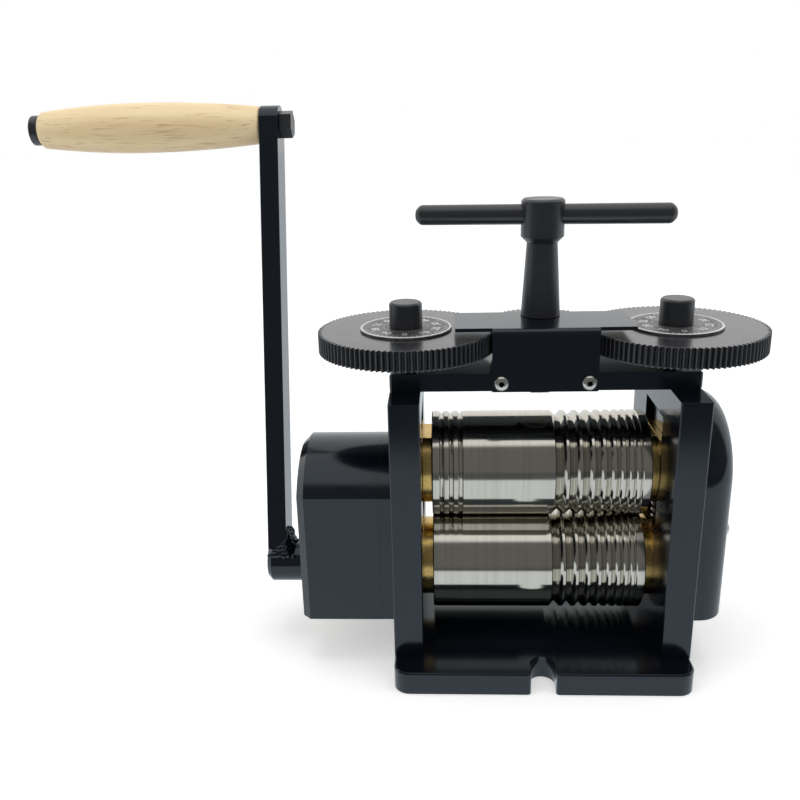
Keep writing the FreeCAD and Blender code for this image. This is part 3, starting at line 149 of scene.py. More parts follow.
def enamel(name, values):
    material, shader = newMaterial(name, values["colour"], 0)
    place = objectPlace(material)
    clouds = noise(material, place, values["cloudScale"], 5, 0.6)
    edges = edgeMask(material, values["edgeRadius"], values["edgeSharp"])
    speckle = noise(material, place, values["speckleScale"], 4, 0.7)
    lightened = spread(material, speckle, 0, values["wear"], *values["speckleBand"])
    wear = combined(material, "MULTIPLY", edges, lightened)
    peel = noise(material, place, values["peelScale"], 2)
    wire(material, shader,
         Base_Color=mixColour(material, wear, values["colour"], values["worn"]),
         Roughness=spread(material, clouds, *values["roughness"], *values["cloudBand"]),
         Normal=bump(material, peel, values["peelStrength"], values["peelDepth"]))
    shader.inputs["IOR"].default_value = values["ior"]
    shader.inputs["Specular Tint"].default_value = (*values["tint"], 1)
    return material


oxideValues = {
    "colour": (0.014, 0.0155, 0.019), "bright": (0.035, 0.036, 0.038), "ior": 1.7,
    "roughness": (0.3, 0.4), "cloudScale": 60, "cloudBand": (0.35, 0.65),
    "edgeRadius": 0.0004, "edgeSharp": 0.4, "edgeShare": 0.6,
    "grainScale": 900, "grainStrength": 0.1, "grainDepth": 0.0001,
}
# on the dial parts the bright edge colour is a painted glint along the tooth edges, not wear
dialOxide = {"bright": (0.4, 0.4, 0.41), "roughness": (0.16, 0.24), "ior": 2.0, "grainStrength": 0.04}


def blackOxide(name, values):
    material, shader = newMaterial(name, values["colour"], 0)
    place = objectPlace(material)
    clouds = noise(material, place, values["cloudScale"], 6, 0.65)
    edges = edgeMask(material, values["edgeRadius"], values["edgeSharp"])
    # edges get a lighter colour: rubbed steel on the blackened parts, and a painted glint on the dial parts
    lightened = spread(material, edges, 0, values["edgeShare"])
    grain = noise(material, place, values["grainScale"], 3)
    wire(material, shader,
         Base_Color=mixColour(material, lightened, values["colour"], values["bright"]),
         Roughness=spread(material, clouds, *values["roughness"], *values["cloudBand"]),
         Normal=bump(material, grain, values["grainStrength"], values["grainDepth"]))
    shader.inputs["IOR"].default_value = values["ior"]
    return material


steelValues = {
    "colour": (0.61, 0.585, 0.52), "shade": (0.52, 0.495, 0.44), "shadeScale": 420, "shadeShare": 0.6,
    "shadeBand": (0.4, 0.7), "roughness": (0.08, 0.13), "smudge": 0.04, "smudgeScale": 34,
    "smudgeBand": (0.45, 0.7), "stretch": (1, 0.012, 0.012), "lineScale": 5200, "lineBand": (0.25, 0.75),
    "lineStrength": 0.025, "lineDepth": 0.00005,
}


def groundSteel(name, values):
    # grinding lines run round the X axis
    material, shader = newMaterial(name, values["colour"], 1)
    place = objectPlace(material, values["stretch"])
    lines = noise(material, place, values["lineScale"], 4, 0.75)
    bands = noise(material, place, values["shadeScale"], 3, 0.6)
    smudges = noise(material, objectPlace(material), values["smudgeScale"], 4, 0.55)
    shade = spread(material, bands, 0, values["shadeShare"], *values["shadeBand"])
    rough = combined(material, "ADD", spread(material, lines, *values["roughness"], *values["lineBand"]),
                     spread(material, smudges, 0, values["smudge"], *values["smudgeBand"]))
    wire(material, shader,
         Base_Color=mixColour(material, shade, values["colour"], values["shade"]),
         Roughness=rough,
         Normal=bump(material, lines, values["lineStrength"], values["lineDepth"]))
    return material


metalValues = {
    "stainScale": 90, "stainShare": 0.75, "stainBand": (0.42, 0.68), "markBand": (0.3, 0.7),
    "markDepth": 0.00006,
}


def plainMetal(name, colour, shade, roughness, scale, strength, values=metalValues):
    # turned or milled metal with fine marks and slight stains
    material, shader = newMaterial(name, colour, 1)
    place = objectPlace(material)
    marks = noise(material, place, scale, 4, 0.7)
    stains = noise(material, place, values["stainScale"], 5, 0.6)
    stained = spread(material, stains, 0, values["stainShare"], *values["stainBand"])
    wire(material, shader,
         Base_Color=mixColour(material, stained, colour, shade),
         Roughness=spread(material, marks, *roughness, *values["markBand"]),
         Normal=bump(material, marks, strength, values["markDepth"]))
    return material


woodValues = {
    "pale": (0.93, 0.76, 0.46), "warm": (0.78, 0.57, 0.31), "pore": (0.5, 0.32, 0.16),
    "driftScale": 5.5, "driftStretch": (1, 6, 6), "drift": 0.012,
    "ringScale": 38, "ringStretch": (0.12, 1, 1), "ringBend": 3.2, "ringDetail": 1.4, "ringBand": (0.05, 0.5),
    "fibreScale": 260, "fibreStretch": (0.05, 1, 1), "fibreShare": 0.45, "fibreBand": (0.4, 0.75),
    "poreScale": 900, "poreStretch": (0.06, 1, 1), "poreShare": 0.6, "poreBand": (0.57, 0.7),
    "roughness": (0.34, 0.5), "relief": 0.12, "reliefDepth": 0.0002, "coat": 0.12, "coatRoughness": 0.25,
}


def turnedWood(name, values):
    # grain runs along X
    material, shader = newMaterial(name, values["pale"], 0)
    wavy = addNode(material, "ShaderNodeTexNoise", {"Scale": values["driftScale"], "Detail": 2},
                   {"Vector": objectPlace(material, values["driftStretch"])})
    drift = addNode(material, "ShaderNodeVectorMath", {"Scale": values["drift"]}, {0: wavy.outputs["Color"]},
                    operation="SCALE")
    bent = addNode(material, "ShaderNodeVectorMath", operation="ADD",
                   links={0: objectPlace(material, values["ringStretch"]), 1: drift.outputs[0]})
    rings = addNode(material, "ShaderNodeTexWave",
                    {"Scale": values["ringScale"], "Distortion": values["ringBend"], "Detail": 3,
                     "Detail Scale": values["ringDetail"]},
                    {"Vector": bent.outputs[0]}, wave_type="BANDS", bands_direction="Y")
    fibres = noise(material, objectPlace(material, values["fibreStretch"]), values["fibreScale"], 5, 0.6)
    pores = noise(material, objectPlace(material, values["poreStretch"]), values["poreScale"], 2, 0.5)
    ringed = spread(material, rings.outputs["Fac"], *values["ringBand"])
    fibred = spread(material, fibres, 0, values["fibreShare"], *values["fibreBand"])
    pored = spread(material, pores, 0, values["poreShare"], *values["poreBand"])
    grain = mixColour(material, ringed, values["pale"], values["warm"])
    streaked = mixColour(material, fibred, grain, values["warm"])
    wire(material, shader,
         Base_Color=mixColour(material, pored, streaked, values["pore"]),
         Roughness=spread(material, fibres, *values["roughness"]),
         Normal=bump(material, fibres, values["relief"], values["reliefDepth"]))
    shader.inputs["Coat Weight"].default_value = values["coat"]
    shader.inputs["Coat Roughness"].default_value = values["coatRoughness"]
    return material


groundValues = {
    "dark": (0.09, 0.09, 0.093), "light": (0.16, 0.16, 0.16), "metallic": 0.6,
    "tintScale": 300, "tintBand": (0.4, 0.65), "roughness": (0.3, 0.45), "cloudScale": 120,
    "cloudBand": (0.35, 0.65), "grainScale": 1500, "grainStrength": 0.1, "grainDepth": 0.00004,
}


def dialGround(name, values):
    material, shader = newMaterial(name, values["dark"], values["metallic"])
    place = objectPlace(material)
    tint = spread(material, noise(material, place, values["tintScale"], 4), 0, 1, *values["tintBand"])
    clouds = noise(material, place, values["cloudScale"], 4)
    grain = noise(material, place, values["grainScale"], 2)
    wire(material, shader,
         Base_Color=mixColour(material, tint, values["dark"], values["light"]),
         Roughness=spread(material, clouds, *values["roughness"], *values["cloudBand"]),
         Normal=bump(material, grain, values["grainStrength"], values["grainDepth"]))
    return material


finishes = {
    "frame_enamel": enamel("frameEnamel", enamelValues),
    "cover_enamel": enamel("coverEnamel", {**enamelValues, "roughness": (0.12, 0.19), "peelStrength": 0.04}),
    "blackened_steel": blackOxide("blackenedSteel", oxideValues),
    "dial_black": blackOxide("dialBlack", {**oxideValues, **dialOxide}),
    "dial_silver": plainMetal("dialSilver", (0.86, 0.86, 0.84), (0.7, 0.7, 0.69), (0.5, 0.65), 1200, 0.1),
    "roll_steel": groundSteel("rollSteel", steelValues),
    "machined_steel": plainMetal("machinedSteel", (0.5, 0.49, 0.48), (0.36, 0.35, 0.34), (0.26, 0.42),
                                 700, 0.12),
    "bearing_brass": plainMetal("bearingBrass", (0.78, 0.55, 0.2), (0.62, 0.4, 0.13), (0.2, 0.36), 500, 0.1),
    "bright_screws": plainMetal("brightScrews", (0.72, 0.7, 0.66), (0.55, 0.53, 0.5), (0.18, 0.32),
                                900, 0.08),
    "grip_wood": turnedWood("gripWood", woodValues),
}
slotOf = {part["node"]: part["material_slot"] for part in frame["record"]["subparts"]}
bodyOf = {node: body for body, nodes in frame["record"]["behaviour"]["bodies"].items() for node in nodes}
for node, item in frame["nodes"].items():
    item.data.materials.clear()
    item.data.materials.append(finishes[slotOf[node]])
print("materials ready:", len(finishes))


# Making pieces

# how close two places count as one, in metres, and how flat two faces count as one, in degrees
near = 0.0001
samePoint = 1e-6
sameLevel = 1e-7
flatAngle = 0.6


def addPiece(name, shape, body, slot, angle=30, replaced=()):
    mesh = bpy.data.meshes.new(name)
    shape.to_mesh(mesh)
    shape.free()
    for face in mesh.polygons:
        face.use_smooth = True
    mesh.set_sharp_from_angle(angle=math.radians(angle))
    mesh.materials.append(finishes[slot])
    item = bpy.data.objects.new(name, mesh)
    scene.collection.objects.link(item)
    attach(item, body)
    if replaced:
        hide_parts(*replaced)
    return item


def nodeShape(node):
    # a clean copy of a solid, with its flat faces whole again
    shape = bmesh.new()
    shape.from_mesh(frame["nodes"][node].data)
    bmesh.ops.remove_doubles(shape, verts=shape.verts, dist=samePoint)
    bmesh.ops.dissolve_limit(shape, angle_limit=math.radians(flatAngle), verts=shape.verts,
                            edges=shape.edges)
    return shape


def sharpEdges(shape, angle):
    limit = math.radians(angle)
    return [edge for edge in shape.edges if edge.is_manifold and edge.calc_face_angle() > limit]


def softenEdges(shape, width, segments=2, angle=28, edges=None):
    chosen = sharpEdges(shape, angle) if edges is None else edges
    bmesh.ops.bevel(shape, geom=chosen, offset=width, offset_type="OFFSET", affect="EDGES", segments=segments,
                    profile=0.5, material=-1, clamp_overlap=True)


def evenShading(item):
    weighted = item.modifiers.new("evenShading", "WEIGHTED_NORMAL")
    weighted.keep_sharp = True


def softened(node, width, shape=None):
    shape = shape or nodeShape(node)
    softenEdges(shape, width)
    evenShading(addPiece(node + "_finished", shape, bodyOf[node], slotOf[node], 30, (node,)))


def turnedShape(profile, steps=64):
    # profile is (radius, height) from the axis outwards and back, turned about Z
    shape = bmesh.new()
    points = [shape.verts.new((radius, 0, height)) for radius, height in profile]
    edges = [shape.edges.new(pair) for pair in zip(points, points[1:])]
    bmesh.ops.spin(shape, geom=points + edges, cent=(0, 0, 0), axis=(0, 0, 1), dvec=(0, 0, 0),
                   angle=2 * math.pi, steps=steps, use_merge=True)
    bmesh.ops.remove_doubles(shape, verts=shape.verts, dist=sameLevel)
    bmesh.ops.recalc_face_normals(shape, faces=shape.faces)
    return shape


def aimed(shape, place, direction=(0, 0, 1), turn=0):
    # moves a shape made about Z to its place
    aim = Vector((0, 0, 1)).rotation_difference(Vector(direction)).to_matrix().to_4x4()
    matrix = Matrix.Translation(place) @ aim @ Matrix.Rotation(turn, 4, "Z")
    bmesh.ops.transform(shape, matrix=matrix, verts=shape.verts)
    return shape


def joined(shapes):
    whole = bmesh.new()
    for shape in shapes:
        mesh = bpy.data.meshes.new("joining")
        shape.to_mesh(mesh)
        shape.free()
        whole.from_mesh(mesh)
        bpy.data.meshes.remove(mesh)
    return whole


# Upper bearings: a flat on each bush, and a saddle on it that stands back in a low window

bearingValues = {
    "axis": 0.1003, "flat": 0.018, "saddleTop": 0.027, "recess": 0.003, "roof": 0.0315, "bar": 0.011,
    "corner": 0.004, "halfWindow": 0.018, "cheekFace": 0.06,
    "bushEdge": 0.0004, "saddleEdge": 0.0004, "screwEdge": 0.0003, "cheekEdge": 0.0005,
}


def shiftLevel(shape, level, rise, halfDepth=1):
    # lifts or lowers the points at one height
    points = [vert for vert in shape.verts
              if abs(vert.co.z - level) < near and abs(vert.co.y) < halfDepth + near]
    bmesh.ops.translate(shape, verts=points, vec=(0, 0, rise))
    return points


def upperBearing(side, values):
    flat = values["axis"] + values["flat"]
    bush = nodeShape("upper_bush_" + side)
    for vert in bush.verts:
        vert.co.z = min(vert.co.z, flat)
    softened("upper_bush_" + side, values["bushEdge"], bush)
    low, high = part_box("saddle_" + side)
    drop = values["axis"] + values["saddleTop"] - high.z
    saddle = nodeShape("saddle_" + side)
    upper = [vert for vert in saddle.verts if vert.co.z > low.z + near]
    shiftLevel(saddle, low.z, flat - low.z)
    bmesh.ops.translate(saddle, verts=upper, vec=(0, 0, drop))
    inner = math.copysign(values["cheekFace"] + values["recess"], low.x)
    for vert in saddle.verts:
        if abs(vert.co.x) < values["cheekFace"]:
            vert.co.x = inner
    softened("saddle_" + side, values["saddleEdge"], saddle)
    screw = nodeShape("adjusting_screw_" + side)
    shiftLevel(screw, high.z, drop)
    softened("adjusting_screw_" + side, values["screwEdge"], screw)
    cheek = nodeShape("cheek_" + side)
    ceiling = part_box("cheek_" + side)[1].z - values["bar"]
    rise = values["axis"] + values["roof"] - ceiling
    roof = shiftLevel(cheek, ceiling, rise, values["halfWindow"])
    corners = [edge for edge in cheek.edges if all(vert in roof for vert in edge.verts)
               and all(abs(abs(vert.co.y) - values["halfWindow"]) < near for vert in edge.verts)]
    softenEdges(cheek, values["corner"], 5, edges=corners)
    softened("cheek_" + side, values["cheekEdge"], cheek)
    print("upper bearing", side, "done, window corners:", len(corners))


for side in ("left", "right"):
    upperBearing(side, bearingValues)


# Frame, covers and crank: the solids with softened edges

edgeWidths = {
    "base_plate": 0.0005, "top_bridge": 0.0004, "gear_case": 0.0005, "gear_case_plate": 0.0004,
    "roll_gear_cover": 0.0003, "gear_cover": 0.0003, "crank_arm": 0.0006, "handle_column": 0.0004,
    "spindle_nut": 0.0004, "grip_nut": 0.0004, "dial_cap_left": 0.0004, "dial_cap_right": 0.0004,
    "lower_bush_left": 0.0004, "lower_bush_right": 0.0004, "crank_bush": 0.0003, "grip_bolt": 0.0005,
    "spindle_bush": 0.0003, "roll_gear_lower": 0.0003, "roll_gear_upper": 0.0003,
}
for node, width in edgeWidths.items():
    softened(node, width)
print("softened solids:", len(edgeWidths))

barValues = {"endRound": 0.0026, "endSegments": 6, "edge": 0.0003, "endFrom": 0.02}


def handleBar(values):
    # domed ends, and fine edges elsewhere
    shape = nodeShape("handle_bar")
    low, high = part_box("handle_bar")
    middle = (low + high) / 2
    ends = [edge for edge in sharpEdges(shape, 28)
            if all((vert.co - middle).length > values["endFrom"] for vert in edge.verts)]
    softenEdges(shape, values["endRound"], values["endSegments"], edges=ends)
    softened("handle_bar", values["edge"], shape)
    print("bar ends rounded:", len(ends))


handleBar(barValues)

wheelValues = {"tipRound": 0.00022, "tipAngle": 25, "faceEdge": 0.00024, "faceAngle": 60, "upright": 0.9}


def dialWheel(side, values):
    node = "dial_wheel_" + side
    shape = nodeShape(node)
    upright = [edge for edge in sharpEdges(shape, values["tipAngle"])
               if abs((edge.verts[0].co - edge.verts[1].co).normalized().z) > values["upright"]]
    softenEdges(shape, values["tipRound"], 2, edges=upright)
    softenEdges(shape, values["faceEdge"], 1, values["faceAngle"])
    evenShading(addPiece(node + "_finished", shape, bodyOf[node], slotOf[node], 40, (node,)))


for side in ("left", "right"):
    dialWheel(side, wheelValues)
print("dial wheels done")


# Rolls

rollValues = {
    "radius": 0.0275, "half": 0.055, "edge": 0.0005, "neck": 0.013, "grooves": 9, "start": 0.0098,
    "width": 0.0056, "drop": 0.00052, "land": 0.0015, "bands": 3, "bandStart": -0.05, "bandPitch": 0.0048,
    "bandWidth": 0.0024, "bandDepth": 0.001, "bandSteps": 6, "lip": 0.00012, "steps": 128, "endFace": 0.00001,
}


def rollProfile(grooved, values):
    radius, half, lip = values["radius"], values["half"], values["lip"]
    line = [(values["neck"], -half), (radius - values["edge"], -half), (radius, -half + values["edge"])]
    if grooved:
        for number in range(values["bands"]):
            middle = values["bandStart"] + number * values["bandPitch"]
            wide, deep = values["bandWidth"] / 2, values["bandDepth"]
            line.append((radius, middle - wide - lip))
            for step in range(values["bandSteps"] + 1):
                turn = math.pi * step / values["bandSteps"]
                line.append((radius - lip / 2 - deep * math.sin(turn), middle - wide * math.cos(turn)))
            line.append((radius, middle + wide + lip))
    for number in range(values["grooves"]):
        middle = values["start"] + number * (values["land"] + values["width"] - values["drop"] * number / 2)
        wide = (values["width"] - values["drop"] * number) / 2
        line += [(radius, middle - wide - lip), (radius - lip, middle - wide + lip / 2),
                 (radius - wide + lip / 2, middle - lip), (radius - wide + lip / 2, middle + lip),
                 (radius - lip, middle + wide - lip / 2), (radius, middle + wide + lip)]
    line += [(radius, half - values["edge"]), (radius - values["edge"], half), (values["neck"], half)]
    return line


def rollPiece(node, grooved, values):
    # a turned barrel between the journals of the solid
    low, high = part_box(node)
    centre = Vector((0, (low.y + high.y) / 2, (low.z + high.z) / 2))
    barrel = aimed(turnedShape(rollProfile(grooved, values), values["steps"]), centre, (1, 0, 0))
    ends = nodeShape(node)
    keepOut = values["half"] + values["endFace"]
    body = [face for face in ends.faces if abs(face.calc_center_median().x) < keepOut]
    bmesh.ops.delete(ends, geom=body, context="FACES")
    addPiece(node + "_turned", joined([barrel, ends]), bodyOf[node], slotOf[node], 20, (node,))


rollPiece("lower_roll", False, rollValues)
rollPiece("upper_roll", True, rollValues)
print("rolls turned")


# Wooden grip

gripValues = {
    "inner": 0.0099, "belly": 0.01315, "outer": 0.0098, "round": 0.0018, "roundSteps": 4,
    "outerRound": 0.003, "outerSteps": 6, "bore": 0.0041, "bellyPlace": 0.53, "steps": 96, "rings": 28,
}


def gripProfile(length, values):
    # height 0 is the outer end, length the end at the arm
    line = [(values["bore"], 0)]
    curve, innerCurve = values["outerRound"], values["round"]
    for step in range(values["outerSteps"] + 1):
        turn = math.pi / 2 * step / values["outerSteps"]
        line.append((values["outer"] - curve * (1 - math.sin(turn)), curve * (1 - math.cos(turn))))
    top = length * (1 - values["bellyPlace"])
    for step in range(1, values["rings"]):
        height = curve + (length - curve - innerCurve) * step / values["rings"]
        end, run = values["inner"], length - innerCurve - top
        if height < top:
            end, run = values["outer"], top - curve
        share = (height - top) / run
        line.append((values["belly"] - (values["belly"] - end) * share * share, height))
    for step in range(values["roundSteps"] + 1):
        turn = math.pi / 2 * step / values["roundSteps"]
        line.append((values["inner"] - innerCurve * (1 - math.cos(turn)),
                     length - innerCurve * (1 - math.sin(turn))))
    line.append((values["bore"], length))
    return line


def woodenGrip(values):
    low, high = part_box("wooden_grip")
    centre = (low + high) / 2
    shape = turnedShape(gripProfile(high.x - low.x, values), values["steps"])
    aimed(shape, (low.x, centre.y, centre.z), (1, 0, 0))
    addPiece("wooden_grip_turned", shape, "grip", "grip_wood", 40, ("wooden_grip",))
    print("grip turned")


woodenGrip(gripValues)


# Socket head screws: button heads on the covers, flush heads in the gear case

buttonValues = {"top": 0.0022, "socket": 0.00145, "socketDepth": 0.0013, "flat": 0.0021, "shank": 0.002,
                "sides": [(0.0027, 0.00205), (0.0033, 0.00167), (0.0037, 0.0011), (0.0038, 0.00057),
                          (0.0038, 0.0)]}
flushValues = {"top": -0.00005, "socket": 0.00125, "socketDepth": 0.0013, "flat": 0.0034, "shank": 0.002,
               "sides": [(0.00351, -0.00009), (0.00355, -0.00018), (0.002, -0.00175)]}
screwPlaces = {"gearCoverHalf": 0.021, "rollCoverHalf": 0.022, "caseLow": (0.027, 0.034),
               "caseHigh": (0.0215, 0.0995), "firstTurn": 0.3, "overlap": 0.00005, "tip": 0.0003}


def grown(shape, edges):
    # extrudes an open rim and gives the new points and the new rim
    new = bmesh.ops.extrude_edge_only(shape, edges=edges)["geom"]
    return ([item for item in new if isinstance(item, bmesh.types.BMVert)],
            [item for item in new if isinstance(item, bmesh.types.BMEdge)])


def edgesAt(shape, level):
    return [edge for edge in shape.edges if all(abs(vert.co.z - level) < sameLevel for vert in edge.verts)]


def screwHead(place, direction, turn, values):
    # seat at height 0, socket upwards
    shape = bmesh.new()
    made = bmesh.ops.create_circle(shape, cap_ends=True, segments=6, radius=values["socket"])
    top = values["top"]
    bmesh.ops.translate(shape, verts=made["verts"], vec=(0, 0, top - values["socketDepth"]))
    points, _ = grown(shape, shape.edges[:])
    bmesh.ops.translate(shape, verts=points, vec=(0, 0, values["socketDepth"]))
    bmesh.ops.subdivide_edges(shape, edges=edgesAt(shape, top), cuts=3)
    loop = edgesAt(shape, top)
    ring = bmesh.ops.create_circle(shape, cap_ends=False, segments=24, radius=values["flat"])["verts"]
    bmesh.ops.translate(shape, verts=ring, vec=(0, 0, top))
    outer = [edge for edge in shape.edges if all(vert in ring for vert in edge.verts)]
    bmesh.ops.bridge_loops(shape, edges=loop + outer)
    radius = values["flat"]
    for wide, height in values["sides"]:
        points, outer = grown(shape, outer)
        bmesh.ops.scale(shape, verts=points, vec=(wide / radius, wide / radius, 1))
        for point in points:
            point.co.z = height
        radius = wide
    bmesh.ops.contextual_create(shape, geom=outer)
    bmesh.ops.recalc_face_normals(shape, faces=shape.faces)
    return aimed(shape, place, direction, turn)


def screwSet(node, places, direction, reach, values):
    shapes = []
    shank, start, tip = values["shank"], values["sides"][-1][1] - screwPlaces["overlap"], screwPlaces["tip"]
    for number, place in enumerate(places):
        shapes.append(screwHead(place, direction, screwPlaces["firstTurn"] + number, values))
        rod = turnedShape([(0, -reach), (shank - tip, -reach), (shank, -reach + tip), (shank, start),
                           (0, start)], 24)
        shapes.append(aimed(rod, place, direction))
    addPiece(node + "_socketed", joined(shapes), bodyOf[node], slotOf[node], 35, (node,))


def allScrews(places):
    head = buttonValues["top"]
    low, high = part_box("gear_cover_screws")
    middleZ, half = (low.z + high.z) / 2, places["gearCoverHalf"]
    screwSet("gear_cover_screws", [(x, low.y + head, middleZ) for x in (-half, half)], (0, -1, 0),
             high.y - low.y - head, buttonValues)
    low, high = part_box("roll_cover_screws")
    middleZ, half = (low.z + high.z) / 2, places["rollCoverHalf"]
    screwSet("roll_cover_screws", [(high.x - head, y, middleZ) for y in (-half, half)], (1, 0, 0),
             high.x - low.x - head, buttonValues)
    low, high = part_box("gear_case_screws")
    casePlaces = [(low.x, way * half, z) for half, z in (places["caseLow"], places["caseHigh"])
                  for way in (-1, 1)]
    screwSet("gear_case_screws", casePlaces, (-1, 0, 0), high.x - low.x, flushValues)
    print("screws done")


allScrews(screwPlaces)


# Dial marks

markValues = {
    "rim": 0.0232, "rimInner": 0.0219, "rimBevel": (0.0002, 0.0003), "rimHigh": 0.00022, "rimSteps": 96,
    "sunk": 0.0001, "deep": 0.0001,
    "ticks": 50, "tickOuter": 0.0214, "tick": 0.0016, "longTick": 0.0026, "tickWidth": 0.00034,
    "longEvery": 5, "figures": 10, "figureStep": 10, "numberRadius": 0.0161, "numberSize": 0.0056,
    "numberDeep": 0.00003, "numberBold": 0.00012, "numberHigh": 0.00004,
    "dots": 40, "dotRadius": 0.0114, "dotLength": 0.0012, "dotWidth": 0.0003,
}


def numberShape(text, values):
    curve = bpy.data.curves.new("number", "FONT")
    curve.body = text
    curve.size = values["numberSize"]
    curve.align_x = "CENTER"
    curve.align_y = "CENTER"
    curve.extrude = values["numberDeep"]
    curve.offset = values["numberBold"]
    item = bpy.data.objects.new("number", curve)
    scene.collection.objects.link(item)
    bpy.context.view_layer.update()
    mesh = bpy.data.meshes.new_from_object(item)
    shape = bmesh.new()
    shape.from_mesh(mesh)
    bpy.data.objects.remove(item)
    bpy.data.meshes.remove(mesh)
    bmesh.ops.transform(shape, matrix=Matrix.Translation((0, -values["numberRadius"], values["numberHigh"])),
                        verts=shape.verts)
    return shape


def lineShape(length, width, deep, radius):
    # a short radial line with its middle at one radius
    shape = bmesh.new()
    bmesh.ops.create_cube(shape, size=1)
    bmesh.ops.scale(shape, verts=shape.verts, vec=(length, width, deep))
    bmesh.ops.translate(shape, verts=shape.verts, vec=(radius, 0, 0))
    return shape


def dialMarks(side, values):
    low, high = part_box("dial_plate_" + side)
    centre = Vector(((low.x + high.x) / 2, (low.y + high.y) / 2, high.z))
    inner, outer, sunk = values["rimInner"], values["rim"], values["sunk"]
    innerBevel, outerBevel = values["rimBevel"]
    shapes = [aimed(turnedShape([(inner, -sunk), (inner, sunk), (inner + innerBevel, values["rimHigh"]),
                                 (outer - outerBevel, values["rimHigh"]), (outer, 0.0), (outer, -sunk),
                                 (inner, -sunk)], values["rimSteps"]), centre)]
    for number in range(values["ticks"]):
        turn = 2 * math.pi * number / values["ticks"]
        length = values["longTick"] if number % values["longEvery"] == 0 else values["tick"]
        tick = lineShape(length, values["tickWidth"], values["deep"], values["tickOuter"] - length / 2)
        shapes.append(aimed(tick, centre, turn=turn))
    for number in range(values["figures"]):
        turn = 2 * math.pi * number / values["figures"]
        shapes.append(aimed(numberShape(str(number * values["figureStep"]), values), centre, turn=turn))
    for number in range(values["dots"]):
        turn = 2 * math.pi * number / values["dots"]
        dot = lineShape(values["dotLength"], values["dotWidth"], values["deep"], values["dotRadius"])
        shapes.append(aimed(dot, centre, turn=turn))
    addPiece("dial_marks_" + side, joined(shapes), side + "_screw", "dial_silver", 30)


ground = dialGround("dialGround", groundValues)
for side in ("left", "right"):
    dialMarks(side, markValues)
    frame["nodes"]["dial_plate_" + side].data.materials[0] = ground
print("dials marked")


# Return springs

springValues = {"wire": 0.0008, "radius": 0.0046, "turns": 4, "steps": 24, "sides": 12}


def springPiece(side, values):
    node = "return_spring_" + side
    low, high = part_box(node)
    shape = bmesh.new()
    ring = bmesh.ops.create_circle(shape, cap_ends=True, segments=values["sides"], radius=values["wire"])
    bmesh.ops.rotate(shape, verts=ring["verts"], cent=(0, 0, 0), matrix=Matrix.Rotation(math.pi / 2, 3, "X"))
    bmesh.ops.translate(shape, verts=ring["verts"], vec=(values["radius"], 0, 0))
    rise = high.z - low.z - 2 * values["wire"]
    bmesh.ops.spin(shape, geom=shape.verts[:] + shape.edges[:] + shape.faces[:], cent=(0, 0, 0),
                   axis=(0, 0, 1), dvec=(0, 0, rise / values["turns"] / values["steps"]),
                   angle=2 * math.pi * values["turns"], steps=values["turns"] * values["steps"])
    bmesh.ops.remove_doubles(shape, verts=shape.verts, dist=sameLevel)
    bmesh.ops.recalc_face_normals(shape, faces=shape.faces)
    aimed(shape, ((low.x + high.x) / 2, 0, low.z + values["wire"]))
    addPiece(node + "_wound", shape, bodyOf[node], slotOf[node], 40, (node,))


for side in ("left", "right"):
    springPiece(side, springValues)
print("springs wound")


# Weld between the crank arm and its boss: lumps grown together into one rough bead

weldValues = {
    "lean": 14.8, "boss": 0.011, "half": 0.01, "step": 0.0011, "voxel": 0.0003, "seed": 4,
    "front": 0.0017, "frontStart": 0.0088, "frontLumps": 9, "frontOut": 0.0002, "frontLift": 0.0006,
    "rowRise": 0.0019, "side": 0.0026, "sizes": (0.8, 1.15), "shake": 0.0004,
}
# rows over the boss: past the arm's face, shares of side and height, lift, fall at the sides, size
weldRows = [(0.001, 1, 1, 0.0008, 0, 1), (0.0004, 1, 1, 0.0033, 0, 0.72), (0.0001, 1, 1, 0.0066, 0.1, 0.6),
            (0.0034, 0.96, 0.98, -0.0002, 0, 0.62)]


def weldBead(values):
    low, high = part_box("crank_shaft")
    axis = Vector((0, 0, (low.z + high.z) / 2))
    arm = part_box("grip_nut")[0].x
    lean = math.radians(values["lean"])
    across = Vector((0, math.cos(lean), -math.sin(lean)))
    upwards = Vector((0, math.sin(lean), math.cos(lean)))
    chance = random.Random(values["seed"])
    boss, half = values["boss"], values["half"]
    foot = math.sqrt(boss * boss - half * half)
    spots = []
    for number in range(values["frontLumps"]):
        for row in range(1 + number // 2):
            spots.append((arm - values["frontStart"] + values["step"] * number, -half - values["frontOut"],
                          foot + values["frontLift"] + values["rowRise"] * row, values["front"]))
    count = int(2 * half / values["step"])
    for number in range(count + 1):
        side = half * (number / count * 2 - 1)
        height = math.sqrt(boss * boss - side * side)
        for past, sideShare, heightShare, lift, fall, size in weldRows:
            spots.append((arm + past, side * sideShare, height * heightShare + lift - abs(side) * fall,
                          values["side"] * size))
    shape = bmesh.new()
    for x, side, height, size in spots:
        size *= chance.uniform(*values["sizes"])
        spot = Vector((x, 0, 0)) + across * side + upwards * height + axis
        spot += Vector([chance.uniform(-values["shake"], values["shake"]) for _ in range(3)])
        made = bmesh.ops.create_icosphere(shape, subdivisions=2, radius=size)
        bmesh.ops.translate(shape, verts=made["verts"], vec=spot)
    item = addPiece("arm_weld", shape, "crank", "frame_enamel", 60)
    merge = item.modifiers.new("oneBead", "REMESH")
    merge.mode = "VOXEL"
    merge.voxel_size = values["voxel"]
    merge.use_smooth_shade = True
    print("weld done")


weldBead(weldValues)


# Camera, light and background

cameraValues = {"place": (-0.048570, -0.430006, 0.280578), "yaw": -3.052, "dip": 18.615, "roll": -1.477,
                "lens": 39.164, "sensor": 36, "clip": (0.01, 50)}


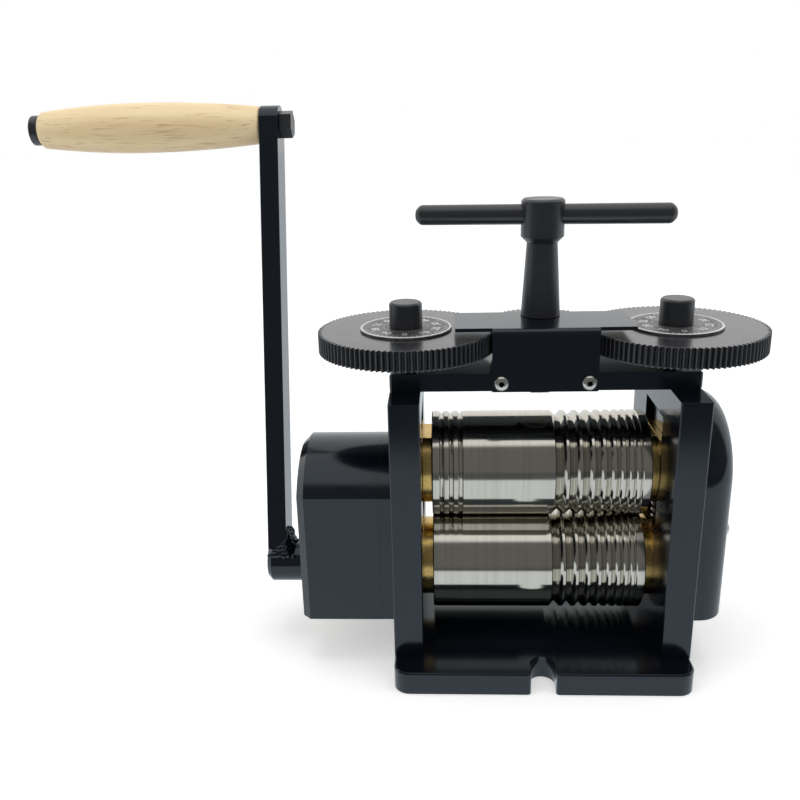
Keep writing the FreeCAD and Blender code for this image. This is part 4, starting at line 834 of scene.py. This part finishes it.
def addCamera(values):
    yaw, dip, roll = (math.radians(values[key]) for key in ("yaw", "dip", "roll"))
    ahead = Vector((math.sin(yaw) * math.cos(dip), math.cos(yaw) * math.cos(dip), -math.sin(dip)))
    right = Vector((math.cos(yaw), -math.sin(yaw), 0))
    above = right.cross(ahead)
    across = right * math.cos(roll) + above * math.sin(roll)
    upwards = above * math.cos(roll) - right * math.sin(roll)
    data = bpy.data.cameras.new("camera")
    data.lens = values["lens"]
    data.sensor_width = values["sensor"]
    data.clip_start, data.clip_end = values["clip"]
    item = bpy.data.objects.new("camera", data)
    scene.collection.objects.link(item)
    turn = Matrix((across, upwards, -ahead)).transposed().to_4x4()
    item.matrix_world = Matrix.Translation(values["place"]) @ turn
    scene.camera = item


addCamera(cameraValues)

# name, place, target, size, power
lampValues = [
    ("topLamp", (0.0, 0.1, 1.2), (0.0, 0.0, 0.1), (1.2, 0.8), 7),
    ("leftLamp", (-1.0, -0.6, 0.8), (0.0, 0.0, 0.12), (0.6, 0.9), 3),
    ("rightLamp", (1.0, -0.4, 0.7), (0.0, 0.0, 0.12), (0.6, 0.9), 2),
]


def addLamp(name, place, target, size, power):
    data = bpy.data.lights.new(name, "AREA")
    data.shape = "RECTANGLE"
    data.size, data.size_y = size
    data.energy = power
    item = bpy.data.objects.new(name, data)
    scene.collection.objects.link(item)
    item.location = place
    item.rotation_euler = (Vector(target) - Vector(place)).to_track_quat("-Z", "Y").to_euler()
    item.visible_glossy = False


for lamp in lampValues:
    addLamp(*lamp)

roomValues = {"wallStart": -0.05, "wallEnd": 0.12, "boxStart": 0.8, "boxEnd": 0.88, "dim": 0.16,
              "ambient": 0.42}


def studioWorld(values):
    # a bright wall behind and a soft box overhead, with the dim room in front
    world = bpy.data.worlds.new("studio")
    scene.world = world
    world.use_nodes = True
    background = world.node_tree.nodes["Background"]
    rays = addNode(world, "ShaderNodeLightPath")
    towards = addNode(world, "ShaderNodeTexCoord")
    parts = addNode(world, "ShaderNodeSeparateXYZ", links={0: towards.outputs["Generated"]})
    wall = smooth(world, parts.outputs["Y"], values["wallStart"], values["wallEnd"])
    softBox = smooth(world, parts.outputs["Z"], values["boxStart"], values["boxEnd"])
    mirrored = choose(world, combined(world, "MAXIMUM", wall, softBox), values["dim"], 1.0)
    unseen = choose(world, rays.outputs["Is Glossy Ray"], values["ambient"], mirrored)
    strength = choose(world, rays.outputs["Is Camera Ray"], unseen, 1.0)
    background.inputs["Color"].default_value = (1, 1, 1, 1)
    world.node_tree.links.new(strength, background.inputs["Strength"])


studioWorld(roomValues)

floorValues = {
    "colour": (0.86, 0.86, 0.86), "roughness": 0.8, "specular": 0.1, "size": 6, "drop": 0.0002,
    "near": 0.42, "far": 0.62, "nearRadius": 0.35, "farRadius": 1.0, "brightFrom": -0.4, "brightFull": -0.32,
    "mirrored": 0.9, "dim": 0.12, "sheen": (0.88, 0.95, 1.0),
}


def whiteFloor(values):
    # keeps the object's shadow, and mirrors as a bright sheet near the object and a dim one in front
    material, shader = newMaterial("floorWhite", values["colour"], 0)
    shader.inputs["Roughness"].default_value = values["roughness"]
    shader.inputs["Specular IOR Level"].default_value = values["specular"]
    rays = addNode(material, "ShaderNodeLightPath")
    spot = addNode(material, "ShaderNodeTexCoord").outputs["Object"]
    distance = addNode(material, "ShaderNodeVectorMath", links={0: spot}, operation="LENGTH")
    lift = smooth(material, distance.outputs["Value"], values["nearRadius"], values["farRadius"],
                  values["near"], values["far"])
    glow = addNode(material, "ShaderNodeEmission",
                   links={"Strength": choose(material, rays.outputs["Is Camera Ray"], 0.0, lift)})
    plain = addNode(material, "ShaderNodeAddShader", links={0: shader.outputs[0], 1: glow.outputs[0]})
    depth = addNode(material, "ShaderNodeSeparateXYZ", links={0: spot}).outputs["Y"]
    sheen = smooth(material, depth, values["brightFrom"], values["brightFull"], values["dim"],
                   values["mirrored"])
    mirrored = addNode(material, "ShaderNodeEmission", {"Color": (*values["sheen"], 1)}, {"Strength": sheen})
    final = addNode(material, "ShaderNodeMixShader",
                    links={0: rays.outputs["Is Glossy Ray"], 1: plain.outputs[0], 2: mirrored.outputs[0]})
    output = material.node_tree.nodes["Material Output"]
    material.node_tree.links.new(final.outputs[0], output.inputs["Surface"])
    shape = bmesh.new()
    bmesh.ops.create_grid(shape, x_segments=1, y_segments=1, size=values["size"])
    mesh = bpy.data.meshes.new("floor")
    shape.to_mesh(mesh)
    shape.free()
    mesh.materials.append(material)
    item = bpy.data.objects.new("floor", mesh)
    scene.collection.objects.link(item)
    item.location.z = -values["drop"]


whiteFloor(floorValues)
print("studio ready")
